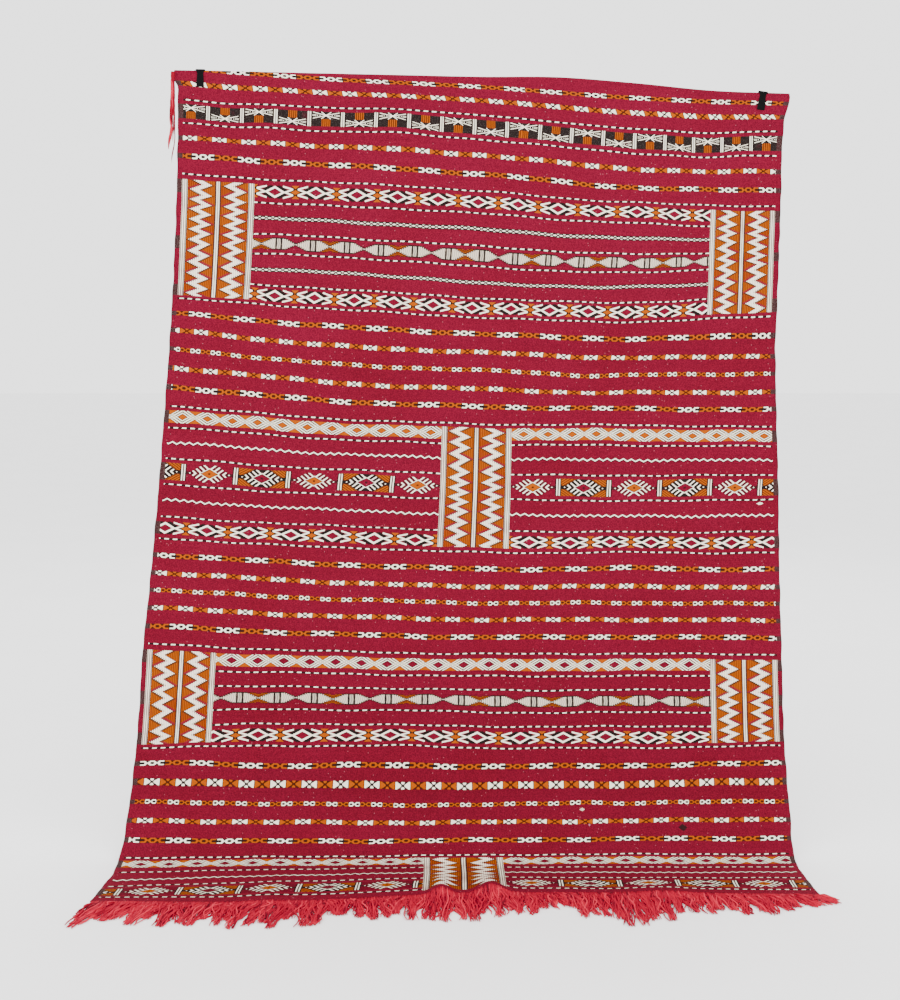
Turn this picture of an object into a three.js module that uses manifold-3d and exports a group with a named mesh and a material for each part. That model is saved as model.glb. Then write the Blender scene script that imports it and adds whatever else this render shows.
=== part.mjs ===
// Flatwoven wool rug, hung by two clips from its upper edge, its lower end and fringe lying on the floor.
// Millimetres, +Z up. The origin is on the fold line at the middle of the upper edge.
// The rug faces -Y, and +X is to its right as a viewer in front of it sees it.

import * as THREE from 'three';
import { mergeVertices } from 'three/addons/utils/BufferGeometryUtils.js';
import Module from 'manifold-3d';

// Driving dimensions of the hanging cloth
const HANG_HEIGHT = 1861; // fold line down to the middle of the cloth on the floor
const SWEEP = 90; // the cloth curves forward to the floor as a hanging chain with this parameter
const THICKNESS = 3;
const FOLD_RADIUS = 2.5; // to the middle of the cloth, where the upper edge turns over
const FLAP = 60; // woven length above the first band, turned over to the back
const WOVEN_LENGTH = 2141; // from the fold line at the middle to the hem

// Side edges: distance below the fold line, and the two sides measured from the middle of the fold
const SIDE_EDGES = [
  { down: -120, left: -729, right: 752 },
  { down: -20, left: -736, right: 752 },
  { down: 8, left: -736, right: 752 },
  { down: 22, left: -728, right: 752 },
  { down: 48, left: -728, right: 757 },
  { down: 60, left: -728, right: 755 },
  { down: 100, left: -729, right: 745 },
  { down: 150, left: -730, right: 740 },
  { down: 300, left: -735, right: 739 },
  { down: 500, left: -746, right: 735 },
  { down: 650, left: -757, right: 730 },
  { down: 800, left: -770, right: 734 },
  { down: 1000, left: -787, right: 741 },
  { down: 1200, left: -806, right: 744 },
  { down: 1400, left: -827, right: 749 },
  { down: 1600, left: -836, right: 751 },
  { down: 1800, left: -850, right: 757 },
  { down: 1920, left: -855, right: 751 },
  { down: 2000, left: -851, right: 751 },
  { down: 2090, left: -858, right: 757 },
  { down: 2180, left: -866, right: 765 },
];

// Run of the woven rows: how far each row sags below its mean, at five places from left to right
const ROW_RUNS = [
  { woven: -60, run: [-48, -19, 0, 26, 40] },
  { woven: 22, run: [-48, -19, 0, 26, 40] },
  { woven: 90, run: [-42, -20, -3, 29, 36] },
  { woven: 230, run: [-46, -23, -1, 32, 38] },
  { woven: 330, run: [-38, -19, -1, 25, 33] },
  { woven: 445, run: [-26, -14, 10, 26, 4] },
  { woven: 545, run: [-32, -10, 12, 23, 6] },
  { woven: 650, run: [-45, -8, 10, 24, 19] },
  { woven: 830, run: [-36, -5, 10, 13, 18] },
  { woven: 1020, run: [-27, -4, 9, 13, 9] },
  { woven: 1230, run: [-26, -4, 9, 10, 12] },
  { woven: 1400, run: [-19, -2, 6, 6, 8] },
  { woven: 1600, run: [4, -5, 1, 2, -2] },
  { woven: 1730, run: [-4, 2, 6, 2, -6] },
  { woven: 1860, run: [0, 4, 2, -2, -4] },
  { woven: 1930, run: [14, 1, -4, -8, -4] },
  { woven: 2010, run: [38, 6, -14, -14, -16] },
  { woven: 2080, run: [36, 14, -20, -16, -16] },
  { woven: 2141, run: [24, 27, -21, -25, -14] },
];

// Fold line of the upper edge, below its own middle, at nine places from left to right
const FOLD_RUN = [-16, -12, -8, -4, 0, 1, 15, 33, 40];

// Soft unevenness of the cloth
const RIPPLES = [
  { height: 3.5, length: 610, shift: 0.15 },
  { height: 2.0, length: 270, shift: 0.6 },
];
const RIPPLE_START = 250; // below the fold line
const RIPPLE_FULL = 1400;
const HEM_HUMPS = [
  { at: -88, height: 17, spread: 26 },
  { at: 24, height: 21, spread: 34 },
  { at: -470, height: 4, spread: 60 },
  { at: 410, height: 5, spread: 70 },
];
const HUMP_START = 30; // beyond the line where the cloth meets the floor
const HUMP_FULL = 150;

// Mesh rows of the cloth
const COLUMN_SPANS = [
  { to: 0.44, steps: 9 },
  { to: 0.59, steps: 14 },
  { to: 1, steps: 8 },
];
const FRONT_ROWS = [
  50, 110, 190, 280, 370, 460, 550, 640, 730, 820, 910, 1000, 1090, 1180, 1270, 1360, 1450, 1530, 1600,
  1660, 1710, 1755, 1795, 1830, 1860, 1885, 1910, 1935, 1960, 1990, 2020, 2050, 2080, 2110, 2141,
];
const FOLD_STEPS = 6;

// Fringe on the floor
const SEAM = 0.3; // gap between neighbouring pieces
const STRIP_WIDTH = 4;
const LOCK_ROOT = 1.2; // a lock starts this far inside the strip
const LOCK_COUNT = 136;
const LOCK_WIDTH = 9.6;
const LOCK_RISE = 4.2;
const LOCK_TIP = 0.3; // share of its width that a lock keeps at its tip
const LOCK_RINGS = [0, 0.1, 0.36, 0.68, 1]; // shares of the reach; the first ring is inside the strip
const LOCK_ROOT_LIFT = 0.4;
const LOCK_ROOT_RISE = 2;
const LOCK_END_MARGIN = 6;
const CLUMPS = [4, 3, 5, 3, 4, 6, 3]; // locks that lean together, in turn along the hem
const CLUMP_PULL = 0.36;
// Reach of the locks beyond the hem and how far their tips lean aside, by place across the cloth
const FRINGE_REACH = [
  { across: 0, reach: 118, lean: -32 },
  { across: 0.04, reach: 126, lean: -24 },
  { across: 0.15, reach: 124, lean: -10 },
  { across: 0.28, reach: 126, lean: -12 },
  { across: 0.36, reach: 84, lean: 8 },
  { across: 0.45, reach: 108, lean: -6 },
  { across: 0.55, reach: 132, lean: 6 },
  { across: 0.62, reach: 90, lean: 12 },
  { across: 0.72, reach: 150, lean: 4 },
  { across: 0.8, reach: 112, lean: 8 },
  { across: 0.88, reach: 102, lean: 12 },
  { across: 0.96, reach: 96, lean: 22 },
  { across: 1, reach: 62, lean: 34 },
];
const REACH_SCATTER = 13;

// Corner tail of loose warp ends: a head beside the turned-over corner and its hanging locks
const TAIL_X = -740.2;
const TAIL_HEAD_RADIUS = 4;
const TAIL_HEAD_TOP = 13;
const TAIL_HEAD_BOTTOM = -14;
const TAIL_LOCKS = [
  { startX: -1.6, startY: 0, midX: -6.5, tipX: -14, bottom: -170, radius: 3.6 },
  { startX: 1.6, startY: -0.8, midX: 0.8, tipX: -3, bottom: -152, radius: 2.6 },
  { startX: 1.2, startY: 1.6, midX: 1.2, tipX: -8, bottom: -205, radius: 1.5 },
];
const TAIL_RINGS = 9;

// Clips gripping the folded edge
const CLIPS = [
  { name: 'clip_left', across: 0.042, length: 42, roll: 1 },
  { name: 'clip_right', across: 0.957, length: 45, roll: 8 },
];
const CLIP_PLATE = 1.2;
const CLIP_SHOULDER = 22;
const CLIP_SHOULDER_HEIGHT = 4;
const CLIP_NECK = 14.5;
const CLIP_WAIST_DEPTH = 10;
const CLIP_FOOT = 18.5;
const CLIP_FOOT_HEIGHT = 8;
const CLIP_GAP = 0.4;
const CLIP_BRIDGE_GAP = 1.4;
const CLIP_BACK_SHORTER = 6;

const wasm = await Module();
wasm.setup();

// Arc length of the cloth from the fold line to where it meets the floor
const TOUCH = Math.sqrt((HANG_HEIGHT + SWEEP) ** 2 - SWEEP ** 2);
const TOUCH_BACK = SWEEP * Math.asinh(TOUCH / SWEEP);
const FLOOR_Z = -HANG_HEIGHT - THICKNESS / 2;
const FOLD_ARC = (Math.PI / 2) * FOLD_RADIUS;

function smooth(from, to, value) {
  const t = Math.min(1, Math.max(0, (value - from) / (to - from)));
  return t * t * (3 - 2 * t);
}

// Cubic through evenly spaced values, for a place from 0 to 1
function throughValues(values, place) {
  const last = values.length - 1;
  const at = Math.min(1, Math.max(0, place)) * last;
  const i = Math.min(last - 1, Math.floor(at));
  const t = at - i;
  const a = values[i];
  const b = values[i + 1];
  const before = i > 0 ? values[i - 1] : 2 * a - b;
  const after = i < last - 1 ? values[i + 2] : 2 * b - a;
  const slopeA = (b - before) / 2;
  const slopeB = (after - a) / 2;
  const t2 = t * t;
  const t3 = t2 * t;
  const slopes = (t3 - 2 * t2 + t) * slopeA + (t3 - t2) * slopeB;
  return (2 * t3 - 3 * t2 + 1) * a + (3 * t2 - 2 * t3) * b + slopes;
}

// Straight-line reading of a named column in a table that is sorted by another column
function readTable(table, key, column, value) {
  const last = table.length - 1;
  let i = 0;
  while (i < last - 1 && value > table[i + 1][key]) {
    i += 1;
  }
  const span = table[i + 1][key] - table[i][key];
  const t = Math.min(1, Math.max(0, (value - table[i][key]) / span));
  return table[i][column] + t * (table[i + 1][column] - table[i][column]);
}

function rowRun(across, woven) {
  const last = ROW_RUNS.length - 1;
  let i = 0;
  while (i < last - 1 && woven > ROW_RUNS[i + 1].woven) {
    i += 1;
  }
  const above = ROW_RUNS[i];
  const below = ROW_RUNS[i + 1];
  const t = Math.min(1, Math.max(0, (woven - above.woven) / (below.woven - above.woven)));
  return (1 - t) * throughValues(above.run, across) + t * throughValues(below.run, across);
}

// Middle line of the cloth seen from the side: back and up, and the way its face looks
function profile(down) {
  const left = TOUCH - down;
  if (left <= 0) {
    return { y: left - TOUCH_BACK, z: -HANG_HEIGHT, faceY: 0, faceZ: 1 };
  }
  const chain = Math.hypot(left, SWEEP);
  return {
    y: SWEEP * Math.asinh(left / SWEEP) - TOUCH_BACK,
    z: chain - SWEEP - HANG_HEIGHT,
    faceY: -left / chain,
    faceZ: SWEEP / chain,
  };
}

function relief(x, down) {
  let height = 0;
  const hanging = smooth(RIPPLE_START, RIPPLE_FULL, down) * (1 - smooth(TOUCH - 260, TOUCH - 60, down));
  for (const ripple of RIPPLES) {
    height += hanging * ripple.height * Math.sin(2 * Math.PI * (x / ripple.length + ripple.shift));
  }
  const lying = smooth(TOUCH + HUMP_START, TOUCH + HUMP_FULL, down);
  for (const hump of HEM_HUMPS) {
    height += lying * hump.height * Math.exp(-(((x - hump.at) / hump.spread) ** 2));
  }
  return height;
}

// A point of the cloth: across from 0 to 1, distance below the fold line, lift off its middle
function onFace(across, down, lift) {
  const left = readTable(SIDE_EDGES, 'down', 'left', down);
  const right = readTable(SIDE_EDGES, 'down', 'right', down);
  const x = left + across * (right - left);
  const line = profile(down);
  const height = lift + relief(x, down);
  return new THREE.Vector3(x, line.y + height * line.faceY, line.z + height * line.faceZ);
}

// The same along the whole cloth: path is measured over the fold, negative on the turned-over back
function onCloth(across, path, lift) {
  const foldDown = throughValues(FOLD_RUN, across);
  if (Math.abs(path) >= FOLD_ARC) {
    const down = foldDown + FOLD_RADIUS + Math.abs(path) - FOLD_ARC;
    return path > 0 ? onFace(across, down, lift) : onFace(across, down, -2 * FOLD_RADIUS - lift);
  }
  const turn = path / FOLD_RADIUS;
  const radius = FOLD_RADIUS + lift;
  const front = onFace(across, foldDown + FOLD_RADIUS, -FOLD_RADIUS + radius * Math.sin(turn));
  const line = profile(foldDown + FOLD_RADIUS);
  const up = radius * Math.cos(turn);
  return front.add(new THREE.Vector3(0, up * line.faceZ, -up * line.faceY));
}

function columns() {
  const list = [0];
  for (const span of COLUMN_SPANS) {
    const from = list[list.length - 1];
    for (let i = 1; i <= span.steps; i += 1) {
      list.push(from + ((span.to - from) * i) / span.steps);
    }
  }
  return list;
}

// Path distances of one column of the cloth, from the flap's free edge over the fold to the hem
function columnPath(across) {
  const foldDown = throughValues(FOLD_RUN, across);
  const flapEnd = rowRun(across, -FLAP) - FLAP - foldDown;
  const path = [flapEnd, (flapEnd - FOLD_ARC) / 2];
  for (let i = 0; i <= FOLD_STEPS; i += 1) {
    path.push(FOLD_ARC * ((2 * i) / FOLD_STEPS - 1));
  }
  for (const woven of FRONT_ROWS) {
    path.push(woven + rowRun(across, woven) - foldDown - FOLD_RADIUS + FOLD_ARC);
  }
  return path;
}

// Closed sheet from a grid of points on its front and the matching grid on its back
function sheetGeometry(front, back) {
  const rows = front.length;
  const cols = front[0].length;
  const points = [...front.flat(), ...back.flat()];
  const faces = [];
  const quad = (a, b, c, d) => faces.push(a, b, c, a, c, d);
  const frontAt = (r, c) => r * cols + c;
  const backAt = (r, c) => rows * cols + r * cols + c;
  for (let r = 0; r < rows - 1; r += 1) {
    for (let c = 0; c < cols - 1; c += 1) {
      quad(frontAt(r, c), frontAt(r + 1, c), frontAt(r + 1, c + 1), frontAt(r, c + 1));
      quad(backAt(r, c), backAt(r, c + 1), backAt(r + 1, c + 1), backAt(r + 1, c));
    }
    quad(frontAt(r, 0), backAt(r, 0), backAt(r + 1, 0), frontAt(r + 1, 0));
    quad(frontAt(r, cols - 1), frontAt(r + 1, cols - 1), backAt(r + 1, cols - 1), backAt(r, cols - 1));
  }
  for (let c = 0; c < cols - 1; c += 1) {
    quad(frontAt(0, c), frontAt(0, c + 1), backAt(0, c + 1), backAt(0, c));
    quad(frontAt(rows - 1, c), backAt(rows - 1, c), backAt(rows - 1, c + 1), frontAt(rows - 1, c + 1));
  }
  return indexed(points, faces);
}

function indexed(points, faces) {
  const geometry = new THREE.BufferGeometry();
  const numbers = points.flatMap((point) => [point.x, point.y, point.z]);
  geometry.setAttribute('position', new THREE.Float32BufferAttribute(numbers, 3));
  geometry.setIndex(faces);
  geometry.computeVertexNormals();
  return geometry;
}

// Closed tube through rings of points, each ring listed the same way round
function ringsGeometry(rings) {
  const sides = rings[0].length;
  const points = rings.flat();
  const faces = [];
  for (let r = 0; r < rings.length - 1; r += 1) {
    for (let s = 0; s < sides; s += 1) {
      const a = r * sides + s;
      const b = r * sides + ((s + 1) % sides);
      faces.push(a, b, b + sides, a, b + sides, a + sides);
    }
  }
  const lastRing = (rings.length - 1) * sides;
  for (let s = 1; s < sides - 1; s += 1) {
    faces.push(0, s + 1, s);
    faces.push(lastRing, lastRing + s, lastRing + s + 1);
  }
  return indexed(points, faces);
}

function toSolid(geometry) {
  const plain = geometry.clone();
  plain.deleteAttribute('normal');
  plain.deleteAttribute('uv');
  const merged = mergeVertices(plain, 1e-4);
  return new wasm.Manifold(
    new wasm.Mesh({
      numProp: 3,
      vertProperties: Float32Array.from(merged.attributes.position.array),
      triVerts: Uint32Array.from(merged.index.array),
    }),
  );
}

function joined(geometries) {
  let solid = toSolid(geometries[0]);
  for (const geometry of geometries.slice(1)) {
    solid = solid.add(toSolid(geometry));
  }
  const mesh = solid.getMesh();
  const geometry = new THREE.BufferGeometry();
  geometry.setAttribute('position', new THREE.BufferAttribute(mesh.vertProperties, 3));
  geometry.setIndex(new THREE.BufferAttribute(mesh.triVerts, 1));
  geometry.computeVertexNormals();
  return geometry;
}

function clothGeometry() {
  const acrossList = columns();
  const paths = acrossList.map(columnPath);
  const grid = (lift) =>
    paths[0].map((_, row) => acrossList.map((across, col) => onCloth(across, paths[col][row], lift)));
  return sheetGeometry(grid(THICKNESS / 2), grid(-THICKNESS / 2));
}

// Where the hem lies at a place across the cloth
function hemDown(across) {
  return WOVEN_LENGTH + rowRun(across, WOVEN_LENGTH);
}

// The narrow strip that follows the hem and carries the locks
function stripGeometry() {
  const acrossList = columns();
  const ends = [SEAM, SEAM + STRIP_WIDTH];
  const grid = (lift) =>
    ends.map((reach) => acrossList.map((across) => onFace(across, hemDown(across) + reach, lift)));
  return sheetGeometry(grid(THICKNESS / 2), grid(-THICKNESS / 2));
}

// Repeatable scatter from -1 to 1 for a numbered lock
function scatter(index, salt) {
  const wave = Math.sin(index * 12.9898 + salt * 78.233) * 43758.5453;
  return 2 * (wave - Math.floor(wave)) - 1;
}

// Number of locks from a lock to the middle of its clump
function stepsToClump(index) {
  let first = 0;
  let turn = 0;
  while (first + CLUMPS[turn % CLUMPS.length] <= index) {
    first += CLUMPS[turn % CLUMPS.length];
    turn += 1;
  }
  return first + (CLUMPS[turn % CLUMPS.length] - 1) / 2 - index;
}

// A three-sided lock whose flat underside comes down from the hem and rests level on the floor
function lockGeometry(index) {
  const hemDistance = hemDown(0);
  const hemLeft = readTable(SIDE_EDGES, 'down', 'left', hemDistance);
  const hemWidth = readTable(SIDE_EDGES, 'down', 'right', hemDistance) - hemLeft;
  const margin = LOCK_END_MARGIN / hemWidth;
  const across = margin + ((1 - 2 * margin) * (index + 0.5)) / LOCK_COUNT;
  const clump = (CLUMP_PULL * stepsToClump(index) * hemWidth) / LOCK_COUNT;
  const root = onFace(across, hemDown(across) + SEAM + LOCK_ROOT, -THICKNESS / 2);
  const reach =
    readTable(FRINGE_REACH, 'across', 'reach', across) + REACH_SCATTER * scatter(index, 1) - STRIP_WIDTH;
  const lean = readTable(FRINGE_REACH, 'across', 'lean', across);
  const sway = 6 * Math.sin(across * 61) + 3 * Math.sin(across * 143);
  const rings = [];
  for (const t of LOCK_RINGS) {
    const inStrip = t === 0;
    const slim = 1 - (1 - LOCK_TIP) * t ** 1.6;
    const bend = lean * t ** 1.5 + sway * Math.sin(Math.PI * 1.3 * t) + clump * t ** 0.8;
    const x = root.x + bend + scatter(index, 2) * t;
    const y = root.y - reach * t;
    const above = Math.max(0, root.z - FLOOR_Z) * (1 - smooth(0, 0.42, t));
    const bottom = FLOOR_Z + above + (inStrip ? LOCK_ROOT_LIFT : 0);
    const rise = inStrip ? LOCK_ROOT_RISE : LOCK_RISE * slim;
    const half = (LOCK_WIDTH / 2) * slim;
    rings.push([
      new THREE.Vector3(x - half, y, bottom),
      new THREE.Vector3(x + half, y, bottom),
      new THREE.Vector3(x, y, bottom + rise),
    ]);
  }
  return ringsGeometry(rings);
}

function fringeGeometry() {
  const parts = [stripGeometry()];
  for (let index = 0; index < LOCK_COUNT; index += 1) {
    parts.push(lockGeometry(index));
  }
  return joined(parts);
}

// A four-sided hanging lock of the corner tail
function tailLockGeometry(lock) {
  const rings = [];
  const top = TAIL_HEAD_BOTTOM + 6;
  for (let r = 0; r < TAIL_RINGS; r += 1) {
    const t = r / (TAIL_RINGS - 1);
    const toMid = smooth(0.15, 0.6, t);
    const toTip = smooth(0.75, 1, t);
    const x = TAIL_X + lock.startX + (lock.midX - lock.startX) * toMid + (lock.tipX - lock.midX) * toTip;
    const z = top + (lock.bottom - top) * t;
    const full = 0.75 + 0.25 * Math.sin(Math.PI * Math.min(1, t * 1.25));
    const half = lock.radius * full * (1 - 0.85 * toTip);
    rings.push([
      new THREE.Vector3(x + half, lock.startY, z),
      new THREE.Vector3(x, lock.startY - half * 0.8, z),
      new THREE.Vector3(x - half, lock.startY, z),
      new THREE.Vector3(x, lock.startY + half * 0.8, z),
    ]);
  }
  return ringsGeometry(rings);
}

function tailGeometry() {
  const head = new THREE.CylinderGeometry(
    TAIL_HEAD_RADIUS * 0.8, TAIL_HEAD_RADIUS, TAIL_HEAD_TOP - TAIL_HEAD_BOTTOM, 8, 1);
  head.rotateX(Math.PI / 2);
  head.translate(TAIL_X, 0, (TAIL_HEAD_TOP + TAIL_HEAD_BOTTOM) / 2);
  return joined([head, ...TAIL_LOCKS.map(tailLockGeometry)]);
}

// Front or back plate of a clip: a wide shoulder, a waist and a flared foot
function clipPlate(length, top, faceY) {
  const shoulder = CLIP_SHOULDER / 2;
  const neck = CLIP_NECK / 2;
  const foot = CLIP_FOOT / 2;
  const bottom = top - length;
  const shoulderEnd = top - CLIP_SHOULDER_HEIGHT;
  const waist = top - CLIP_WAIST_DEPTH;
  const footTop = bottom + CLIP_FOOT_HEIGHT;
  const outline = new THREE.Shape();
  outline.moveTo(-shoulder, top);
  outline.lineTo(-shoulder, shoulderEnd);
  outline.quadraticCurveTo(-neck, shoulderEnd - 1, -neck, waist);
  outline.lineTo(-foot, footTop);
  outline.lineTo(-foot, bottom);
  outline.lineTo(foot, bottom);
  outline.lineTo(foot, footTop);
  outline.lineTo(neck, waist);
  outline.quadraticCurveTo(neck, shoulderEnd - 1, shoulder, shoulderEnd);
  outline.lineTo(shoulder, top);
  const settings = { depth: CLIP_PLATE, bevelEnabled: false, curveSegments: 4 };
  const plate = new THREE.ExtrudeGeometry(outline, settings);
  plate.rotateX(Math.PI / 2);
  plate.translate(0, faceY + CLIP_PLATE, 0);
  return plate;
}

function clipGeometry(length) {
  const inner = FOLD_RADIUS + THICKNESS / 2 + CLIP_GAP;
  const top = FOLD_RADIUS + THICKNESS / 2 + CLIP_BRIDGE_GAP + CLIP_PLATE;
  const bridge = new THREE.BoxGeometry(CLIP_SHOULDER, 2 * inner + CLIP_PLATE, CLIP_PLATE);
  bridge.translate(0, 0, top - CLIP_PLATE / 2);
  return joined([
    bridge,
    clipPlate(length, top, -inner - CLIP_PLATE),
    clipPlate(length - CLIP_BACK_SHORTER, top, inner),
  ]);
}

function finish(color, roughness, metalness) {
  return new THREE.MeshStandardMaterial({ color, roughness, metalness });
}

function named(name, geometry, material) {
  const mesh = new THREE.Mesh(geometry, material);
  mesh.name = name;
  return mesh;
}

// A clip stands on the fold, turned with the cloth's slope and rolled in its plane
function clipMesh(clip) {
  const foldDown = throughValues(FOLD_RUN, clip.across) + FOLD_RADIUS;
  const centre = onFace(clip.across, foldDown, -FOLD_RADIUS);
  const line = profile(foldDown);
  const mesh = named(clip.name, clipGeometry(clip.length), finish('#191919', 0.45, 0.6));
  mesh.position.copy(centre);
  mesh.rotation.set(-Math.atan2(line.faceZ, -line.faceY), THREE.MathUtils.degToRad(clip.roll), 0);
  return mesh;
}

const rug = new THREE.Group();
rug.add(named('rug_cloth', clothGeometry(), finish('#a61e3c', 0.95, 0)));
rug.add(named('fringe', fringeGeometry(), finish('#d62d4b', 0.95, 0)));
rug.add(named('corner_tail', tailGeometry(), finish('#c81e32', 0.95, 0)));
for (const clip of CLIPS) {
  rug.add(clipMesh(clip));
}

export default rug;
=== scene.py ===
"""Flatwoven wool rug hung by two clips, its lower end and fringe lying on the floor.

The rug is one sheet whose mesh rows follow the woven rows, so each woven band has its own faces, its own
finish and its own band coordinates. Sizes are in millimetres until a mesh is made.
"""

from __future__ import annotations

import logging
import math
import random
from collections.abc import Callable
from dataclasses import dataclass, field
from enum import Enum
from typing import TypeAlias

import bpy
import numpy as np
from mathutils import Matrix, Vector

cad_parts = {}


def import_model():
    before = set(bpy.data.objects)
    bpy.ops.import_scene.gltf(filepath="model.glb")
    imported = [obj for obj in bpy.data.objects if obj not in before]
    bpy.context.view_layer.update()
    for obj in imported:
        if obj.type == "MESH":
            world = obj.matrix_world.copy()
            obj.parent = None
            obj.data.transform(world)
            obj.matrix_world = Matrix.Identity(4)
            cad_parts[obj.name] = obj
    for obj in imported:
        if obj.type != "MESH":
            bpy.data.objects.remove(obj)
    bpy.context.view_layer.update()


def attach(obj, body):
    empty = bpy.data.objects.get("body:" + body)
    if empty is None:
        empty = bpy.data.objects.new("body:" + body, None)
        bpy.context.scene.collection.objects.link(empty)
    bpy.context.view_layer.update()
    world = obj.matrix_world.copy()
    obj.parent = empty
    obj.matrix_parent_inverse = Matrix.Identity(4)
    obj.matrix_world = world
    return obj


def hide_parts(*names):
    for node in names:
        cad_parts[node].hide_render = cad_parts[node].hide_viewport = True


log = logging.getLogger("rug")

MM = 0.001

# place down the cloth, in metres, from where it lies on the floor
LIES_FROM = 1.86

Piece: TypeAlias = bpy.types.Object
Material: TypeAlias = bpy.types.Material
Socket: TypeAlias = bpy.types.NodeSocket
Value: TypeAlias = "Sum | float"


class Motif(Enum):
    """What a stretch of cloth shows, and the slot of its finish on the rug."""

    FIELD = 0
    BACK = 1
    SELVEDGE = 2
    DASH = 3
    CHAIN = 4
    BOW_TIE = 5
    SMALL = 6
    BLOCK = 7
    HOOK = 8
    BRAID = 9
    ZIGZAG = 10
    EYE = 11
    LATTICE_ORANGE = 12
    LATTICE_RED = 13
    COMB = 14
    PANEL = 15


class Place(Enum):
    """Where the tall patterned panels stand in a zone of the rug."""

    SIDES = 1
    CENTRE = 2


@dataclass(frozen=True)
class Band:
    """One woven band.

    Args:
        motif: what it shows.
        height: its height along the weave.
        middle: distance of its middle below the fold line, measured along the weave.
        repeat: length of one repeat across the rug.
        first: middle of the first whole motif, from where the band starts at the left.
        right_repeat: length of a repeat right of the rug's middle, where it differs.
        right_first: middle of the first motif there.
    """

    motif: Motif
    height: float
    middle: float
    repeat: float
    first: float
    right_repeat: float = 0.0
    right_first: float = 0.0


@dataclass(frozen=True)
class Zone:
    """A stretch of the rug that holds panels.

    Args:
        place: where its panels stand.
        top: its upper end along the weave.
        bottom: its lower end along the weave.
        lines: the panels' side lines, across the rug from 0 to 1.
        tips: for each panel, where the zigzag's inner tips lie along the weave.
    """

    place: Place
    top: float
    bottom: float
    lines: tuple[float, ...]
    tips: tuple[tuple[float, ...], ...]

    def tooth(self, panel: int, woven: float) -> float:
        """Counts the teeth down to a place.

        Args:
            panel: number of the panel from the left.
            woven: the place along the weave.

        Returns:
            A whole number at each inner tip.
        """
        tips = self.tips[panel]
        last = len(tips) - 1
        if woven < tips[0]:
            return (woven - tips[0]) / (tips[1] - tips[0])
        if woven > tips[last]:
            return last + (woven - tips[last]) / (tips[last] - tips[last - 1])
        return float(np.interp(woven, tips, range(last + 1)))


DASH = (Motif.DASH, 4.7)
CHAIN = (Motif.CHAIN, 11.8)
BOW = (Motif.BOW_TIE, 11.0)
SMALL = (Motif.SMALL, 9.8)
BLOCK = (Motif.BLOCK, 35.0)
HOOK = (Motif.HOOK, 30.0)
BRAID = (Motif.BRAID, 11.0)
ZIGZAG = (Motif.ZIGZAG, 11.0)
EYE = (Motif.EYE, 28.0)
COMB = (Motif.COMB, 42.0)
AMBER_LATTICE = (Motif.LATTICE_ORANGE, 29.0)
RED_LATTICE = (Motif.LATTICE_RED, 29.0)

BANDS = (
    Band(Motif.CHAIN, 9.5, 24, 110, 27, 109.5, 64),
    Band(*BOW, 58, 70.3, 40),
    Band(*DASH, 94, 20.1, 11),
    Band(*BLOCK, 122, 159, 18, 156.5, 6),
    Band(*DASH, 151, 19.8, 18),
    Band(*BOW, 188, 69.2, 16),
    Band(*CHAIN, 233, 108.2, 48),
    Band(*DASH, 274, 19.8, 0),
    Band(*HOOK, 301, 98, 49),
    Band(*DASH, 328, 19.7, 3),
    Band(*BRAID, 363, 23.6, 15),
    Band(*DASH, 400, 19.5, 8),
    Band(*EYE, 422, 163.8, 22),
    Band(*DASH, 445, 19.5, 13),
    Band(*BRAID, 483, 23.8, 13),
    Band(*DASH, 520, 18.8, 5),
    Band(*HOOK, 543, 95.7, 61),
    Band(*DASH, 567, 19.2, 10),
    Band(*CHAIN, 608, 106.4, 55),
    Band(*BOW, 654, 67.8, 61),
    Band(*SMALL, 698, 48.6, 2),
    Band(*BOW, 744, 69.2, 21, 70, 48),
    Band(*CHAIN, 787, 107.6, 84),
    Band(*DASH, 830, 19.6, 11),
    Band(*AMBER_LATTICE, 854, 60, 32, 60.4, 30),
    Band(*DASH, 880, 20, 18, 20.1, 3),
    Band(*ZIGZAG, 916, 20, 13, 20.2, 18),
    Band(*DASH, 954, 20, 18, 20.3, 3),
    Band(*COMB, 985, 252, 107, 254, 55),
    Band(*DASH, 1016, 20, 17, 20.4, 3),
    Band(*ZIGZAG, 1054, 20.2, 11, 20.4, 17),
    Band(*DASH, 1094, 20.2, 18, 20.6, 1),
    Band(*HOOK, 1121, 101, 12, 101.8, 51),
    Band(*DASH, 1147, 20.2, 18),
    Band(*CHAIN, 1188, 111.9, 15),
    Band(*BOW, 1232, 71.5, 9),
    Band(*SMALL, 1273, 51.3, 3),
    Band(*BOW, 1315, 72.1, 8, 73.7, 43),
    Band(*CHAIN, 1359, 113.9, 74),
    Band(*DASH, 1401, 20.8, 18),
    Band(*RED_LATTICE, 1429, 62.6, 38),
    Band(*DASH, 1457, 20.8, 15),
    Band(*DASH, 1492, 20.8, 16),
    Band(*EYE, 1520, 179.2, 108),
    Band(*DASH, 1548, 20.5, 17),
    Band(*DASH, 1583, 20.5, 14),
    Band(*HOOK, 1610, 106.4, 5),
    Band(*DASH, 1635, 20.5, 11),
    Band(*CHAIN, 1678, 117.5, 30),
    Band(Motif.BOW_TIE, 16.5, 1723, 75, 34),
    Band(*SMALL, 1770, 53.8, 37),
    Band(*BOW, 1814, 74.6, 30, 75.1, 12),
    Band(*CHAIN, 1861, 119.1, 115),
    Band(*DASH, 1905, 20.8, 10),
    Band(*RED_LATTICE, 1929, 63.9, 42, 65.1, 35),
    Band(*DASH, 1968, 19.9, 12, 19.9, 14),
    Band(*ZIGZAG, 2007, 19.9, 1, 21.8, 19),
    Band(*DASH, 2042, 20.3, 7, 18.8, 3),
    Band(*COMB, 2079, 261, 97, 272, 60),
    Band(*DASH, 2113, 20.2, 19, 19.6, 2),
)

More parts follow.
